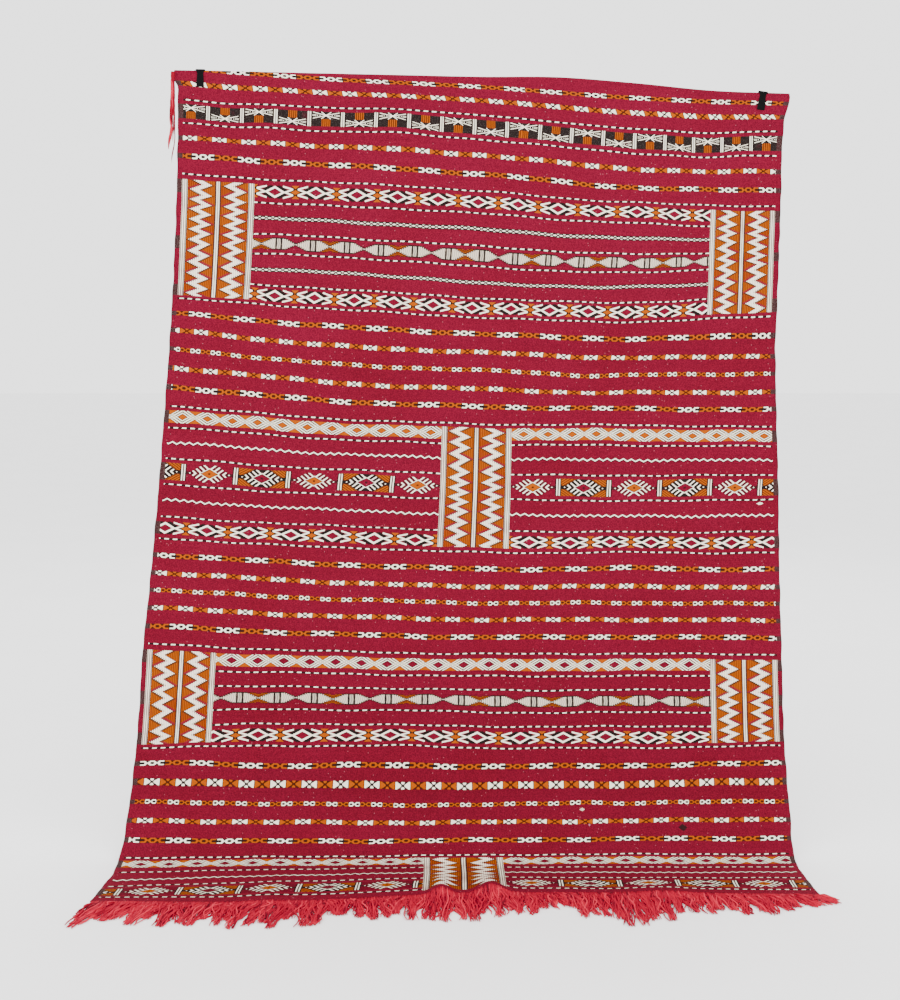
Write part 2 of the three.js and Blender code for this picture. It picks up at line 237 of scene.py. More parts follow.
ZONES = (
    Zone(Place.SIDES, 285, 558, (0.0085, 0.128, 0.885, 0.991), (
        (295, 319, 340, 361, 383, 404, 427, 453, 482, 511, 537),
        (295, 321, 346, 373, 404, 431, 458, 483, 511, 536))),
    Zone(Place.CENTRE, 839, 1135, (0.4548, 0.568), (
        (863, 889, 918, 949, 975, 999, 1023, 1048, 1076, 1104),)),
    Zone(Place.SIDES, 1414, 1620, (0.0075, 0.1148, 0.889, 0.993), (
        (1438, 1465, 1493, 1521, 1550, 1580, 1606), (1437, 1465, 1498, 1524, 1551, 1581, 1605))),
    Zone(Place.CENTRE, 1917, 2120, (0.451, 0.568), ((1937, 1968, 2000, 2034, 2066, 2098),)),
)

# bands so plain that the side edges stay in the ground colour
PLAIN_EDGED = (Motif.DASH, Motif.BRAID, Motif.ZIGZAG)


def through(values: np.ndarray, place: np.ndarray) -> np.ndarray:
    """Reads a smooth curve through evenly spaced values.

    Args:
        values: the values.
        place: where it is read, from 0 to 1.

    Returns:
        The curve's value at each place.
    """
    last = len(values) - 1
    at = np.clip(place, 0.0, 1.0) * last
    i = np.minimum(last - 1, np.floor(at)).astype(int)
    t = at - i
    ends = np.concatenate(([2 * values[0] - values[1]], values, [2 * values[-1] - values[-2]]))
    before, a, b, after = (ends[i + k] for k in range(4))
    slope_a = (b - before) / 2
    slope_b = (after - a) / 2
    even = (2 * t**3 - 3 * t**2 + 1) * a + (3 * t**2 - 2 * t**3) * b
    return even + (t**3 - 2 * t**2 + t) * slope_a + (t**3 - t**2) * slope_b


def smooth(start: float, end: float, value: np.ndarray | float) -> np.ndarray:
    """Eases each value from 0 at start to 1 at end."""
    t = np.clip((np.asarray(value, dtype=float) - start) / (end - start), 0.0, 1.0)
    return t * t * (3 - 2 * t)


@dataclass(frozen=True)
class Hang:
    """The shape in which the rug hangs and lies.

    Args:
        height: how far the floor lies below the fold line, to the middle of the cloth.
        sweep: how wide the curve is in which it meets the floor.
        thickness: of the cloth.
        fold_radius: radius of the fold, to the middle of the cloth.
        flap: how much cloth is turned over to the back.
        woven_length: length of the face down to the hem.
        side_edges: distance below the fold line, then the places of the left and right edge.
        row_runs: place along the weave, then how far the row sags at five places across.
        dips: small dips of the rows: places along the weave and across, depth, spread along and across.
        fold_run: how far the fold lies below its line, at even steps across.
        ripples: height, length and shift of each soft ripple of the hanging part.
        ripple_start: where the ripples start below the fold line.
        ripple_full: where they reach their full height.
        humps: place, height and spread of each hump of the lying end.
        hump_start: where the humps start on the floor.
        hump_full: where they reach their full height.
    """

    height: float = 1861.0
    sweep: float = 90.0
    thickness: float = 3.0
    fold_radius: float = 2.5
    flap: float = 60.0
    woven_length: float = 2141.0
    side_edges: tuple[tuple[float, float, float], ...] = (
        (-120, -729, 752), (-20, -736, 752), (8, -736, 752), (22, -728, 752), (48, -728, 757),
        (60, -728, 755), (100, -729, 745), (150, -730, 740), (300, -735, 739), (500, -746, 735),
        (650, -757, 730), (800, -770, 734), (1000, -787, 741), (1200, -806, 744), (1400, -827, 749),
        (1600, -836, 751), (1800, -850, 757), (1920, -855, 751), (2000, -851, 751), (2090, -858, 757),
        (2180, -866, 765),
    )
    row_runs: tuple[tuple[float, ...], ...] = (
        (-60, -48, -19, 0, 26, 40), (22, -48, -19, 0, 26, 40), (90, -42, -20, -3, 29, 36),
        (230, -46, -23, -1, 32, 38), (330, -38, -19, -1, 25, 33), (445, -26, -14, 10, 26, 4),
        (545, -32, -10, 12, 23, 6), (650, -45, -8, 10, 24, 19), (830, -36, -5, 10, 13, 18),
        (1020, -27, -4, 9, 13, 9), (1230, -26, -4, 9, 10, 12), (1400, -19, -2, 6, 6, 8),
        (1600, 4, -5, 1, 2, -2), (1730, -4, 2, 6, 2, -6), (1860, 0, 4, 2, -2, -4),
        (1930, 14, 1, -4, -8, -4), (2010, 38, 6, -14, -14, -16), (2080, 36, 14, -20, -16, -16),
        (2141, 24, 27, -21, -25, -14),
    )
    dips: tuple[tuple[float, ...], ...] = (
        (125, 0.35, -6, 60, 0.07), (125, 0.88, 7, 75, 0.06), (125, 0.08, 5, 80, 0.05),
        (300, 0.75, -5, 45, 0.08), (300, 0.37, -3, 45, 0.07), (483, 0.27, -3, 30, 0.07),
        (483, 0.79, -5, 30, 0.05), (715, 0.69, 5, 40, 0.07), (744, 0.12, -4, 30, 0.12),
        (1188, 0.79, -4, 45, 0.06), (1060, 0.85, 4, 60, 0.06), (1120, 0.33, -3, 40, 0.08),
        (1530, 0.42, -3, 35, 0.08), (1640, 0.42, -4, 30, 0.08), (1678, 0.05, -5, 22, 0.05),
        (1678, 0.22, 4, 22, 0.07), (1770, 0.69, -4, 25, 0.05), (1930, 0.3, 5, 45, 0.25),
        (1930, 0.75, 4, 45, 0.2),
    )
    fold_run: tuple[float, ...] = (-16, -12, -8, -4, 0, 1, 15, 33, 40)
    ripples: tuple[tuple[float, float, float], ...] = ((3.5, 610, 0.15), (2.0, 270, 0.6))
    ripple_start: float = 250.0
    ripple_full: float = 1400.0
    humps: tuple[tuple[float, float, float], ...] = (
        (-88, 17, 26), (24, 21, 34), (-470, 4, 60), (410, 5, 70),
    )
    hump_start: float = 30.0
    hump_full: float = 150.0

    @property
    def touch(self) -> float:
        """Length of cloth from the fold line to where it meets the floor."""
        return math.sqrt((self.height + self.sweep) ** 2 - self.sweep**2)

    @property
    def touch_back(self) -> float:
        """How far the floor line lies in front of the fold line."""
        return self.sweep * math.asinh(self.touch / self.sweep)

    @property
    def floor(self) -> float:
        """Height of the floor."""
        return -self.height - self.thickness / 2

    @property
    def fold_arc(self) -> float:
        """Length of a quarter turn of the fold."""
        return math.pi / 2 * self.fold_radius

    def row_run(self, across: np.ndarray, woven: float) -> np.ndarray:
        """Sag of a woven row.

        Args:
            across: places across the rug, from 0 to 1.
            woven: the row's place along the weave.

        Returns:
            How far each point lies below the row's mean.
        """
        table = np.array(self.row_runs)
        values = np.array([np.interp(woven, table[:, 0], table[:, k]) for k in range(1, table.shape[1])])
        sag = through(values, across)
        for place, middle, depth, along, aside in self.dips:
            sag = sag + depth * np.exp(-((woven - place) / along) ** 2 - ((across - middle) / aside) ** 2)
        return sag

    def profile(self, down: np.ndarray) -> tuple[np.ndarray, ...]:
        """Middle of the cloth seen from the side.

        Args:
            down: distances below the fold line, along the cloth.

        Returns:
            Place back and up, and the back and up parts of the way its face looks.
        """
        left = self.touch - down
        lying = left <= 0
        safe = np.maximum(left, 0)
        chain = np.hypot(safe, self.sweep)
        y = np.where(lying, left, self.sweep * np.arcsinh(safe / self.sweep)) - self.touch_back
        z = np.where(lying, 0.0, chain - self.sweep) - self.height
        return y, z, np.where(lying, 0.0, -safe / chain), np.where(lying, 1.0, self.sweep / chain)

    def relief(self, x: np.ndarray, down: np.ndarray) -> np.ndarray:
        """Soft unevenness of the cloth.

        Args:
            x: places across.
            down: distances below the fold line.

        Returns:
            How far the cloth stands off its plain shape.
        """
        hanging = smooth(self.ripple_start, self.ripple_full, down)
        hanging = hanging * (1 - smooth(self.touch - 260, self.touch - 60, down))
        total = np.zeros_like(x)
        for height, length, shift in self.ripples:
            total = total + hanging * height * np.sin(2 * math.pi * (x / length + shift))
        lying = smooth(self.touch + self.hump_start, self.touch + self.hump_full, down)
        for at, height, spread in self.humps:
            total = total + lying * height * np.exp(-(((x - at) / spread) ** 2))
        return total

    def on_face(self, across: np.ndarray, down: np.ndarray, lift: np.ndarray | float) -> np.ndarray:
        """Points of the cloth below the fold.

        Args:
            across: places across, from 0 to 1.
            down: distances below the fold line.
            lift: how far off the cloth's middle.

        Returns:
            One row of x, y and z for each point.
        """
        edges = np.array(self.side_edges)
        left = np.interp(down, edges[:, 0], edges[:, 1])
        right = np.interp(down, edges[:, 0], edges[:, 2])
        x = left + across * (right - left)
        y, z, face_y, face_z = self.profile(down)
        height = lift + self.relief(x, down)
        return np.stack([x, y + height * face_y, z + height * face_z], axis=-1)

    def on_cloth(self, across: np.ndarray, path: np.ndarray, lift: np.ndarray) -> np.ndarray:
        """Points of the whole cloth, its turned-over upper edge included.

        Args:
            across: places across, from 0 to 1.
            path: distances over the fold, negative on the back.
            lift: how far off the cloth's middle.

        Returns:
            One row of x, y and z for each point.
        """
        fold_down = through(np.array(self.fold_run, dtype=float), across)
        beyond = np.maximum(np.abs(path) - self.fold_arc, 0)
        down = fold_down + self.fold_radius + beyond
        front = self.on_face(across, down, np.where(path > 0, lift, -2 * self.fold_radius - lift))
        turning = np.abs(path) < self.fold_arc
        turn = path / self.fold_radius
        radius = self.fold_radius + lift
        round_lift = np.where(turning, -self.fold_radius + radius * np.sin(turn), 0.0)
        fold = self.on_face(across, down, round_lift)
        _, _, face_y, face_z = self.profile(down)
        up = radius * np.cos(turn)
        fold = fold + np.stack([np.zeros_like(up), up * face_z, -up * face_y], axis=-1)
        return np.where(turning[:, None], fold, front)

    def path(self, across: np.ndarray, woven: float) -> np.ndarray:
        """Distances of a woven row's points over the fold, negative on the back."""
        fold_down = through(np.array(self.fold_run, dtype=float), across)
        return woven + self.row_run(across, woven) - fold_down - self.fold_radius + self.fold_arc

    def hem_down(self, across: np.ndarray) -> np.ndarray:
        """Distance of the hem below the fold line at places across the rug."""
        return self.woven_length + self.row_run(across, self.woven_length)


HANG = Hang()


@dataclass(frozen=True)
class Yarns:
    """Colours of the rug's yarns, as shares of red, green and blue light that they send back."""

    crimson: tuple = (0.128, 0.0038, 0.0142, 1.0)
    crimson_deep: tuple = (0.092, 0.0033, 0.0096, 1.0)
    crimson_pink: tuple = (0.160, 0.0052, 0.0250, 1.0)
    white: tuple = (0.93, 0.85, 0.68, 1.0)
    ivory: tuple = (0.66, 0.55, 0.42, 1.0)
    grey: tuple = (0.130, 0.115, 0.100, 1.0)
    orange: tuple = (0.320, 0.060, 0.0001, 1.0)
    orange_deep: tuple = (0.120, 0.022, 0.0005, 1.0)
    ember: tuple = (0.230, 0.020, 0.0020, 1.0)
    dark: tuple = (0.0120, 0.0075, 0.0070, 1.0)
    dark_red: tuple = (0.030, 0.0075, 0.0050, 1.0)
    # plum and olive are also used as painted shadow: plum below the zigzag line and between loose yarns,
    # olive below the panels' white strokes
    plum: tuple = (0.036, 0.0045, 0.0090, 1.0)
    olive: tuple = (0.040, 0.024, 0.009, 1.0)
    rose: tuple = (0.50, 0.23, 0.22, 1.0)
    lint: tuple = (0.40, 0.14, 0.17, 1.0)
    fringe: tuple = (0.44, 0.0060, 0.0290, 1.0)
    fringe_deep: tuple = (0.150, 0.0028, 0.0150, 1.0)
    pale_red: tuple = (0.60, 0.032, 0.060, 1.0)
    tail: tuple = (0.230, 0.0026, 0.0130, 1.0)


YARNS = Yarns()


def math_method(operation: str, swapped: bool = False) -> Callable[[Sum, Value], Sum]:
    """Makes a method of Sum from a Math node's operation.

    Args:
        operation: the operation of two values.
        swapped: whether the other value comes first.

    Returns:
        The method.
    """
    def method(self: Sum, other: Value) -> Sum:
        """Adds a Math node on this value and the other."""
        return self.calculate(operation, *((other, self) if swapped else (self, other)))
    return method


class Sum:
    """A number that varies over a surface, for use in Python sums; comparisons give 1 or 0."""

    def __init__(self, board: Board, socket: Socket) -> None:
        """Wraps a socket of a board."""
        self.board = board
        self.socket = socket

    def calculate(self, operation: str, *values: Value) -> Sum:
        """Adds a Math node on the values and returns its result."""
        node = self.board.node("ShaderNodeMath", {"operation": operation}, *values)
        return Sum(self.board, node.outputs[0])

    __add__ = __radd__ = math_method("ADD")
    __sub__ = math_method("SUBTRACT")
    __rsub__ = math_method("SUBTRACT", True)
    __mul__ = __rmul__ = math_method("MULTIPLY")
    __truediv__ = math_method("DIVIDE")
    __lt__ = math_method("LESS_THAN")
    __gt__ = math_method("GREATER_THAN")
    least = math_method("MINIMUM")
    most = math_method("MAXIMUM")

    def part(self) -> Sum:
        """The part behind the decimal point, always from 0 to 1."""
        return self.calculate("FLOORED_MODULO", self, 1.0)

    def whole(self) -> Sum:
        """The whole number below."""
        return self.calculate("FLOOR", self)

    def size(self) -> Sum:
        """The value without its sign."""
        return self.calculate("ABSOLUTE", self)

    def off(self) -> Sum:
        """Distance from the nearest whole number, from -0.5 to 0.5."""
        return (self + 0.5).part() - 0.5

    def wave(self) -> Sum:
        """Sine of the value in turns."""
        return self.calculate("SINE", self * (2 * math.pi))

    def tri(self) -> Sum:
        """A triangle wave from 0 to 1 and back over one turn."""
        return 1.0 - ((self.part() * 2.0) - 1.0).size()

    def between(self, low: float, high: float) -> Sum:
        """Gives 1 between two numbers, else 0."""
        return (self > low) * (self < high)


class Board:
    """A material's node tree, filled from Python expressions."""

    def __init__(self, name: str) -> None:
        """Makes a material with a Principled surface.

        Args:
            name: the material's name.
        """
        self.material = bpy.data.materials.new(name)
        self.material.use_nodes = True
        self.tree = self.material.node_tree
        self.surface = self.tree.nodes["Principled BSDF"]

    def node(self, kind: str, settings: dict, *values: object, **named: object) -> bpy.types.Node:
        """Adds a node.

        Args:
            kind: the node's type.
            settings: its settings, set before its sockets.
            values: numbers, colours or links for its first sockets.
            named: the same for sockets by name, with _ for a space.

        Returns:
            The node.
        """
        made = self.tree.nodes.new(kind)
        for key, value in settings.items():
            setattr(made, key, value)
        pairs = list(zip(made.inputs, values))
        pairs += [(made.inputs[key.replace("_", " ")], value) for key, value in named.items()]
        for socket, value in pairs:
            self.put(socket, value)
        return made

    def put(self, socket: Socket, value: object) -> None:
        """Links or sets a socket.

        Args:
            socket: the socket.
            value: a Sum, another socket, a number or a colour.
        """
        source = value.socket if isinstance(value, Sum) else value
        if isinstance(source, Socket):
            self.tree.links.new(source, socket)
        else:
            socket.default_value = source

    def map(self, name: str) -> tuple[Sum, Sum, Socket]:
        """Reads a UV map of the piece.

        Args:
            name: the map's name.

        Returns:
            Its two coordinates and both as a vector.
        """
        vector = self.node("ShaderNodeUVMap", {"uv_map": name}).outputs[0]
        parts = self.node("ShaderNodeSeparateXYZ", {}, vector)
        return Sum(self, parts.outputs[0]), Sum(self, parts.outputs[1]), vector

    def vector(self, x: Value, y: Value, z: Value = 0.0) -> Socket:
        """Joins three numbers into a vector."""
        return self.node("ShaderNodeCombineXYZ", {}, x, y, z).outputs[0]

    def noise(self, vector: Socket, scale: float, detail: float = 2.0) -> Sum:
        """A cloudy number from 0 to 1, with as many clouds in one unit as the scale says."""
        made = self.node("ShaderNodeTexNoise", {}, Vector=vector, Scale=scale, Detail=detail)
        return Sum(self, made.outputs["Fac"])

    def white_noise(self, vector: Socket) -> Sum:
        """An even random number from 0 to 1 for each cell."""
        made = self.node("ShaderNodeTexWhiteNoise", {"noise_dimensions": "2D"}, Vector=vector)
        return Sum(self, made.outputs["Value"])

    def mix(self, share: Value, first: object, second: object, blend: str = "MIX") -> Socket:
        """Mixes two colours.

        Args:
            share: how much of the second shows.
            first: a colour or a link.
            second: a colour or a link.
            blend: how they mix.

        Returns:
            The mixed colour.
        """
        made = self.node("ShaderNodeMix", {"data_type": "RGBA", "clamp_factor": True, "blend_type": blend})
        for index, value in ((0, share), (6, first), (7, second)):
            self.put(made.inputs[index], value)
        return made.outputs[2]

    def layers(self, colour: object, *layers: tuple) -> Socket:
        """Lays colours over each other.

        Args:
            colour: the lowest colour.
            layers: for each further one, where it shows and its colour.

        Returns:
            The colour seen.
        """
        for share, upper in layers:
            colour = self.mix(share, colour, upper)
        return colour

    def shade(self, colour: object, factor: Value) -> Socket:
        """Multiplies a colour by a number."""
        return self.mix(1.0, colour, self.vector(factor, factor, factor), "MULTIPLY")

    def dress(self, colour: Socket, rough: Value, height: Value, depth: float, strength: float,
              shine: float) -> Material:
        """Gives the surface its colour, roughness and relief.

        Args:
            colour: its colour.
            rough: its roughness.
            height: its relief, in shares of the depth.
            depth: the relief's depth in metres.
            strength: how strongly the relief shows.
            shine: its specular level.

        Returns:
            The material.
        """
        bump = self.node("ShaderNodeBump", {}, Strength=strength, Distance=depth, Height=height)
        inputs = self.surface.inputs
        for name, value in (("Base Color", colour), ("Roughness", rough), ("Normal", bump.outputs[0])):
            self.put(inputs[name], value)
        inputs["Specular IOR Level"].default_value = shine
        return self.material

    def chart(self, rows: tuple[str, ...], yarns: dict[str, object], u: Sum, v: Sum) -> Socket:
        """Draws a small woven chart.

        Args:
            rows: one text row for each row of the chart, a letter for each stitch.
            yarns: the colour of each letter.
            u: place along a row, from 0 to 1.
            v: place down the rows, from 0 to 1.

        Returns:
            The colour.
        """
        result = None
        for number, text in enumerate(rows):
            ramp = self.node("ShaderNodeValToRGB", {}, u)
            stops = ramp.color_ramp
            stops.interpolation = "CONSTANT"
            starts = [i for i in range(len(text)) if i == 0 or text[i] != text[i - 1]]
            for order, start in enumerate(starts):
                place = start / len(text)
                stop = stops.elements[0] if order == 0 else stops.elements.new(place)
                stop.position = place
                stop.color = yarns[text[start]]
            stops.elements.remove(stops.elements[-1])
            colour = ramp.outputs[0]
            result = colour if result is None else self.mix(v > number / len(rows), result, colour)
        return result


@dataclass(frozen=True)
class Mark:
    """A stain or a caught thread on the ground; its sizes are in metres."""

    x: float
    y: float
    wide: float
    tall: float
    yarn: tuple


MARKS = (
    Mark(1.338, 1.834, 0.012, 0.010, YARNS.dark),
    Mark(1.088, 1.786, 0.007, 0.004, YARNS.ivory),
    Mark(1.108, 1.822, 0.003, 0.005, YARNS.lint),
    Mark(1.481, 1.025, 0.009, 0.004, YARNS.white),
)


@dataclass(frozen=True)
class Weave:
    """The rug's ground weave, shared by all its finishes.

    Args:
        rib: distance between the ribs of the warp.
        pick: distance between the rows of the weft.
        depth: height of the weave's relief in metres.
    """

    rib: float = 3.4 * MM
    pick: float = 1.3 * MM
    depth: float = 0.35 * MM

    def ground(self, board: Board) -> Socket:
        """The crimson ground with its streaks, mottling and lint.

        Args:
            board: the material.

        Returns:
            The colour.
        """
        x, y, vector = board.map("Cloth")
        streak = board.noise(board.vector(x * 3.0, y * 260.0), 1.0, 3.0)
        fine = board.noise(board.vector(x * 330.0, y * 420.0), 1.0, 1.0)
        cloud = board.noise(vector, 5.0, 3.0)
        drift = board.noise(board.vector(x * 0.6, y * 9.0), 1.0, 2.0)
        pink = (0.75 - y * 0.3) + (cloud - 0.5) * 1.6
        colour = board.layers(YARNS.crimson,
            (pink * 0.6, YARNS.crimson_pink),
            (((drift - 0.42) * 2.2).most(0.0) * 0.5, YARNS.crimson_deep))
        speck = board.white_noise(board.vector((x / (1.9 * MM)).whole(), (y / (1.7 * MM)).whole()))
        colour = board.mix((speck > 0.9975) * 0.45, colour, YARNS.lint)
        for mark in MARKS:
            away = (x - mark.x).size() / mark.wide + (y - mark.y).size() / mark.tall
            colour = board.mix((away < (0.6 + fine * 0.7)) * 0.9, colour, mark.yarn)
        return board.shade(colour, 0.42 + streak * 0.26 + fine * 0.78 + (speck - 0.5) * 0.5)

    def dress(self, board: Board, colour: Socket) -> Material:
        """Gives the surface the relief and sheen of wool yarn.

        Args:
            board: the material's board.
            colour: the surface's colour.

        Returns:
            The material.
        """
        x, y, vector = board.map("Cloth")
        ribs = (x / self.rib).wave() * 0.5
        picks = ((y / self.pick) + (x / self.rib).whole() * 0.5).wave() * 0.35
        wool = board.noise(vector, 900.0, 2.0)
        return board.dress(colour, 0.82 + wool * 0.14, ribs + picks + wool * 0.9, self.depth, 1.0, 0.04)


WEAVE = Weave()


@dataclass(frozen=True)
class Woven:
    """A woven finish: the ground with a pattern on it.

    The patterns are drawn in steps of about 2.45 mm, from the middle of a motif. Each finish's pattern
    method takes and gives what Woven.pattern does.

    Args:
        motif: the motif that it draws.
    """

    motif: Motif

    def pattern(self, board: Board, u: Sum, v: Sum, ground: Socket) -> Socket:
        """Draws the pattern; a plain finish shows the ground.

        Args:
            board: the material.
            u: place across in repeats, a whole number at the middle of a motif.
            v: place down the band, from 0 to 1.
            ground: the ground's colour.

        Returns:
            The colour.
        """
        return ground

    def tint(self, board: Board, colour: Socket) -> Socket:
        """Makes the yarn of a pattern a little uneven.

        Args:
            board: the material.
            colour: the pattern's colour.

        Returns:
            The uneven colour.
        """
        _, y, vector = board.map("Cloth")
        fine = board.noise(vector, 330.0, 2.0)
        worn = board.noise(vector, 28.0, 3.0)
        lying = ((y - LIES_FROM) * 6.0).most(0.0).least(1.0)
        colour = board.shade(colour, (0.84 + fine * 0.28) * (1.0 - lying * 0.24))
        return board.mix(((worn - 0.62) * 1.3).most(0.0), colour, YARNS.crimson_pink)

    def make(self) -> Material:
        """Makes the material."""
        board = Board("rug_" + self.motif.name.lower())
        u, v, _ = board.map("Band")
        return WEAVE.dress(board, self.pattern(board, u, v, WEAVE.ground(board)))


class Plain(Woven):
    """The plain crimson ground."""


class Back(Woven):
    """The turned-over and hidden side: a duller ground with faint rows."""

    def pattern(self, board: Board, u: Sum, v: Sum, ground: Socket) -> Socket:
        """Dulls the ground and adds faint rows."""
        _, y, _ = board.map("Cloth")
        rows = (y / (44 * MM)).tri() > 0.86
        return board.mix(rows * 0.45, board.shade(ground, 0.86), YARNS.plum)


class Selvedge(Woven):
    """Dark wrapping of the side edges at each band."""

    def pattern(self, board: Board, u: Sum, v: Sum, ground: Socket) -> Socket:
        """Colours the edge dark brown, with grey flecks."""
        _, _, vector = board.map("Cloth")
        fleck = board.noise(vector, 420.0, 1.0)
        dark = board.mix((fleck - 0.42) * 1.6, YARNS.dark, YARNS.grey)
        return board.mix(0.84, ground, dark)


class Dash(Woven):
    """White dashes with dark gaps."""

    def pattern(self, board: Board, u: Sum, v: Sum, ground: Socket) -> Socket:
        """Draws the dashes."""
        x = (u.off() * 8.0 + (v - 0.5) * 0.5).size()
        colour = board.mix(v.between(0.1, 0.94), ground, YARNS.dark)
        white = (x < 2.1) * v.between(0.2, 0.78)
        return self.tint(board, board.mix(white, colour, YARNS.white))


CHAIN_ROWS = (
    "WWWWWkkkkkkkkWWWWWWWWWWW",
    "WWWWWWWkkkkkWWWWWWWWWWWW",
    "kkkWWWWWkkkWWWWWkkkkkkkk",
    "kkkkWWWWWWWWWWWkkkkkkkkk",
)
BOW_ROWS = (
    "WWWkkkkkkkWWWW",
    "WWWkkkkkWWWWWW",
    "WWkkkkWWWWWWWW",
    "gkkkWWWWWWWWWW",
    "kkkWWWWWWWWWWW",
)
SMALL_ROWS = (
    "kkkWWWWWWk",
    "kkWWWWWWWW",
    "kWWWkkkkWW",
    "WWWkkkkkkW",
)


class Charted(Woven):
    """A band of alternate white and orange units drawn from a quarter chart."""

    rows: tuple[str, ...] = CHAIN_ROWS

    def pattern(self, board: Board, u: Sum, v: Sum, ground: Socket) -> Socket:
        """Draws the units; u is whole at the middle of a white unit."""
        from_centre = (u * 2.0).off().size() * 2.0
        warm = u.off().size() > 0.25
        white = {"W": YARNS.white, "k": YARNS.dark, "g": YARNS.grey}
        amber = {"W": YARNS.orange, "k": YARNS.dark_red, "g": YARNS.orange_deep}
        pale_rows = board.chart(self.rows, white, from_centre / 0.97, v.tri())
        warm_rows = board.chart(self.rows, amber, from_centre / 0.97, v.tri())
        colour = board.mix(warm, pale_rows, warm_rows)
        return self.tint(board, board.mix(from_centre > 0.955, colour, YARNS.dark))


class Chain(Charted):
    """Links of a chain."""

    rows = CHAIN_ROWS


class BowTie(Charted):
    """Bow ties with a hexagon at the middle."""

    rows = BOW_ROWS


class Small(Charted):
    """Small open links."""

    rows = SMALL_ROWS


class Block(Woven):
    """Dark blocks with a white star and orange stripes, turned up and down in turn, between white bars."""

    def pattern(self, board: Board, u: Sum, v: Sum, ground: Socket) -> Socket:
        """Draws the blocks; u counts repeats of two blocks, whole where the star is above."""
        _, _, vector = board.map("Cloth")
        turned = u.off().size() > 0.25
        down = v * (1.0 - turned) + (1.0 - v) * turned
        x = (u * 2.0).off().size() * 32.4
        y = (down * 2.0 - 0.5).size() * 7.2
        fleck = board.noise(vector, 420.0, 1.0)
        dark = board.mix((fleck - 0.55) * 2.0, YARNS.dark, YARNS.grey)
        legs = ((y - x * 0.72).size() < 0.45) * (x < 4.7)
        wings = ((y - x * 0.225 - 0.1).size() < 0.36) * (x < 12.8)
        tines = ((y - 0.55).size() < 0.2) * x.between(9.6, 13.2)
        core = (y < 0.45) * x.between(5.6, 8.8) * ((x - 7.2).size() > 0.9)
        star = legs + wings + tines + core
        stripes = board.mix(((x * 0.5 + 0.3).part() > 0.55) * 0.9, YARNS.orange, YARNS.dark_red)
        lower = board.mix(x < 4.2, dark, stripes)
        colour = board.layers(board.mix(star, dark, YARNS.white),
            (down > 0.5, lower), (x > 13.9, YARNS.dark))
        bars = board.mix((x > 15.5) * 0.85, YARNS.white, YARNS.grey)
        return self.tint(board, board.mix(x > 14.6, colour, bars))


class Hook(Woven):
    """White diamonds with hooked arms, and orange hourglasses between them."""

    def pattern(self, board: Board, u: Sum, v: Sum, ground: Socket) -> Socket:
        """Draws the diamonds; u is whole at the middle of a diamond."""
        x = u.off().size() * 41.4
        y = (v - 0.5).size() * 12.2
        far = 20.7 - x
        ring = x / 11.0 + y / 6.0
        glass = far / 4.8 + y / 2.3
        cone = far - (y - 2.9) * 1.25
        arm = ((y - (x - 10.0) * 0.33).size() < 0.78) * x.between(9.4, 18.3)
        hook = ((y - (5.3 - (x - 8.6) * 0.27)).size() < 0.78) * x.between(8.2, 18.0)
        colour = board.layers(ground,
            (ring.between(0.95, 1.5) * x.between(2.0, 14.0), YARNS.dark),
            ((glass < 1.5) + (far < 2.6), YARNS.dark), ((cone < 0.9) * (y > 2.0) * 0.9, YARNS.dark),
            ((glass < 1.0).most(cone < 0.0), YARNS.orange), (hook.most(arm), YARNS.white),
            (ring < 0.96, YARNS.white), ((x / 6.9 + y / 3.6) < 1.0, YARNS.plum))
        return board.mix((x / 6.0 + y / 3.1) < 1.0, self.tint(board, colour), ground)


class Braid(Woven):
    """A fine two-strand braid."""

    def pattern(self, board: Board, u: Sum, v: Sum, ground: Socket) -> Socket:
        """Draws the braid."""
        y = (v - 0.5) * 4.5
        rise = (u * 0.75).wave() * 1.3
        near = (y - rise).size().least((y + rise).size())
        colour = board.layers(ground,
            (y.size() < 2.0, YARNS.dark), (y.size() < 1.45, YARNS.white))
        return self.tint(board, board.mix(near < 0.62, colour, YARNS.dark))


class Zigzag(Woven):
    """A white zigzag line with a dark shadow."""

    def pattern(self, board: Board, u: Sum, v: Sum, ground: Socket) -> Socket:
        """Draws the line."""
        y = (v - 0.48) * 4.5
        line = (u.tri() - 0.5) * 2.2
        colour = board.layers(ground,
            ((y - line).between(0.0, 1.7) * 0.8, YARNS.plum),
            ((line - y).between(0.0, 1.35) * (u.tri() > 0.5) * 0.8, YARNS.dark))
        return self.tint(board, board.mix((y - line).size() < 0.62, colour, YARNS.white))


class Eye(Woven):
    """White lozenges with dark bars, and orange or plain notches between them in turn."""

    def pattern(self, board: Board, u: Sum, v: Sum, ground: Socket) -> Socket:
        """Draws the lozenges; u counts repeats of two lozenges, whole at an orange notch."""
        x = ((u * 2.0).part() - 0.5) * 34.5
        y = (v - 0.5).size() * 11.5
        side = (x.size() * 0.8).whole() / 0.8
        teeth = ((x.size() * 0.5).part() > 0.5) * 1.0
        edge = (4.9 - (side - 6.2) * 0.45 - teeth).least(4.7).most(0.1)
        warm = (u.off().size() < 0.25) * (x.size() > 8.5)
        amber = board.mix(((y - edge).size() - 2.4).size() < 0.45, YARNS.orange, YARNS.dark_red)
        colour = board.layers(ground,
            (warm * (y < (edge + 4.0)) * (y < 5.5), YARNS.dark_red),
            (warm * (y < (edge + 3.4)) * (y < 4.9), amber), (y < (edge + 1.3), YARNS.dark))
        bars = (x + 2.6).size().least((x - 2.7).size()) < 0.85
        lines = ((x * 0.5 + y * 0.12).part() < 0.5) * 0.5
        white = board.layers(YARNS.ivory,
            (lines + (x.size() < 1.8) * 0.35, YARNS.grey), (bars, YARNS.dark))
        return self.tint(board, board.mix(y < edge, colour, white))


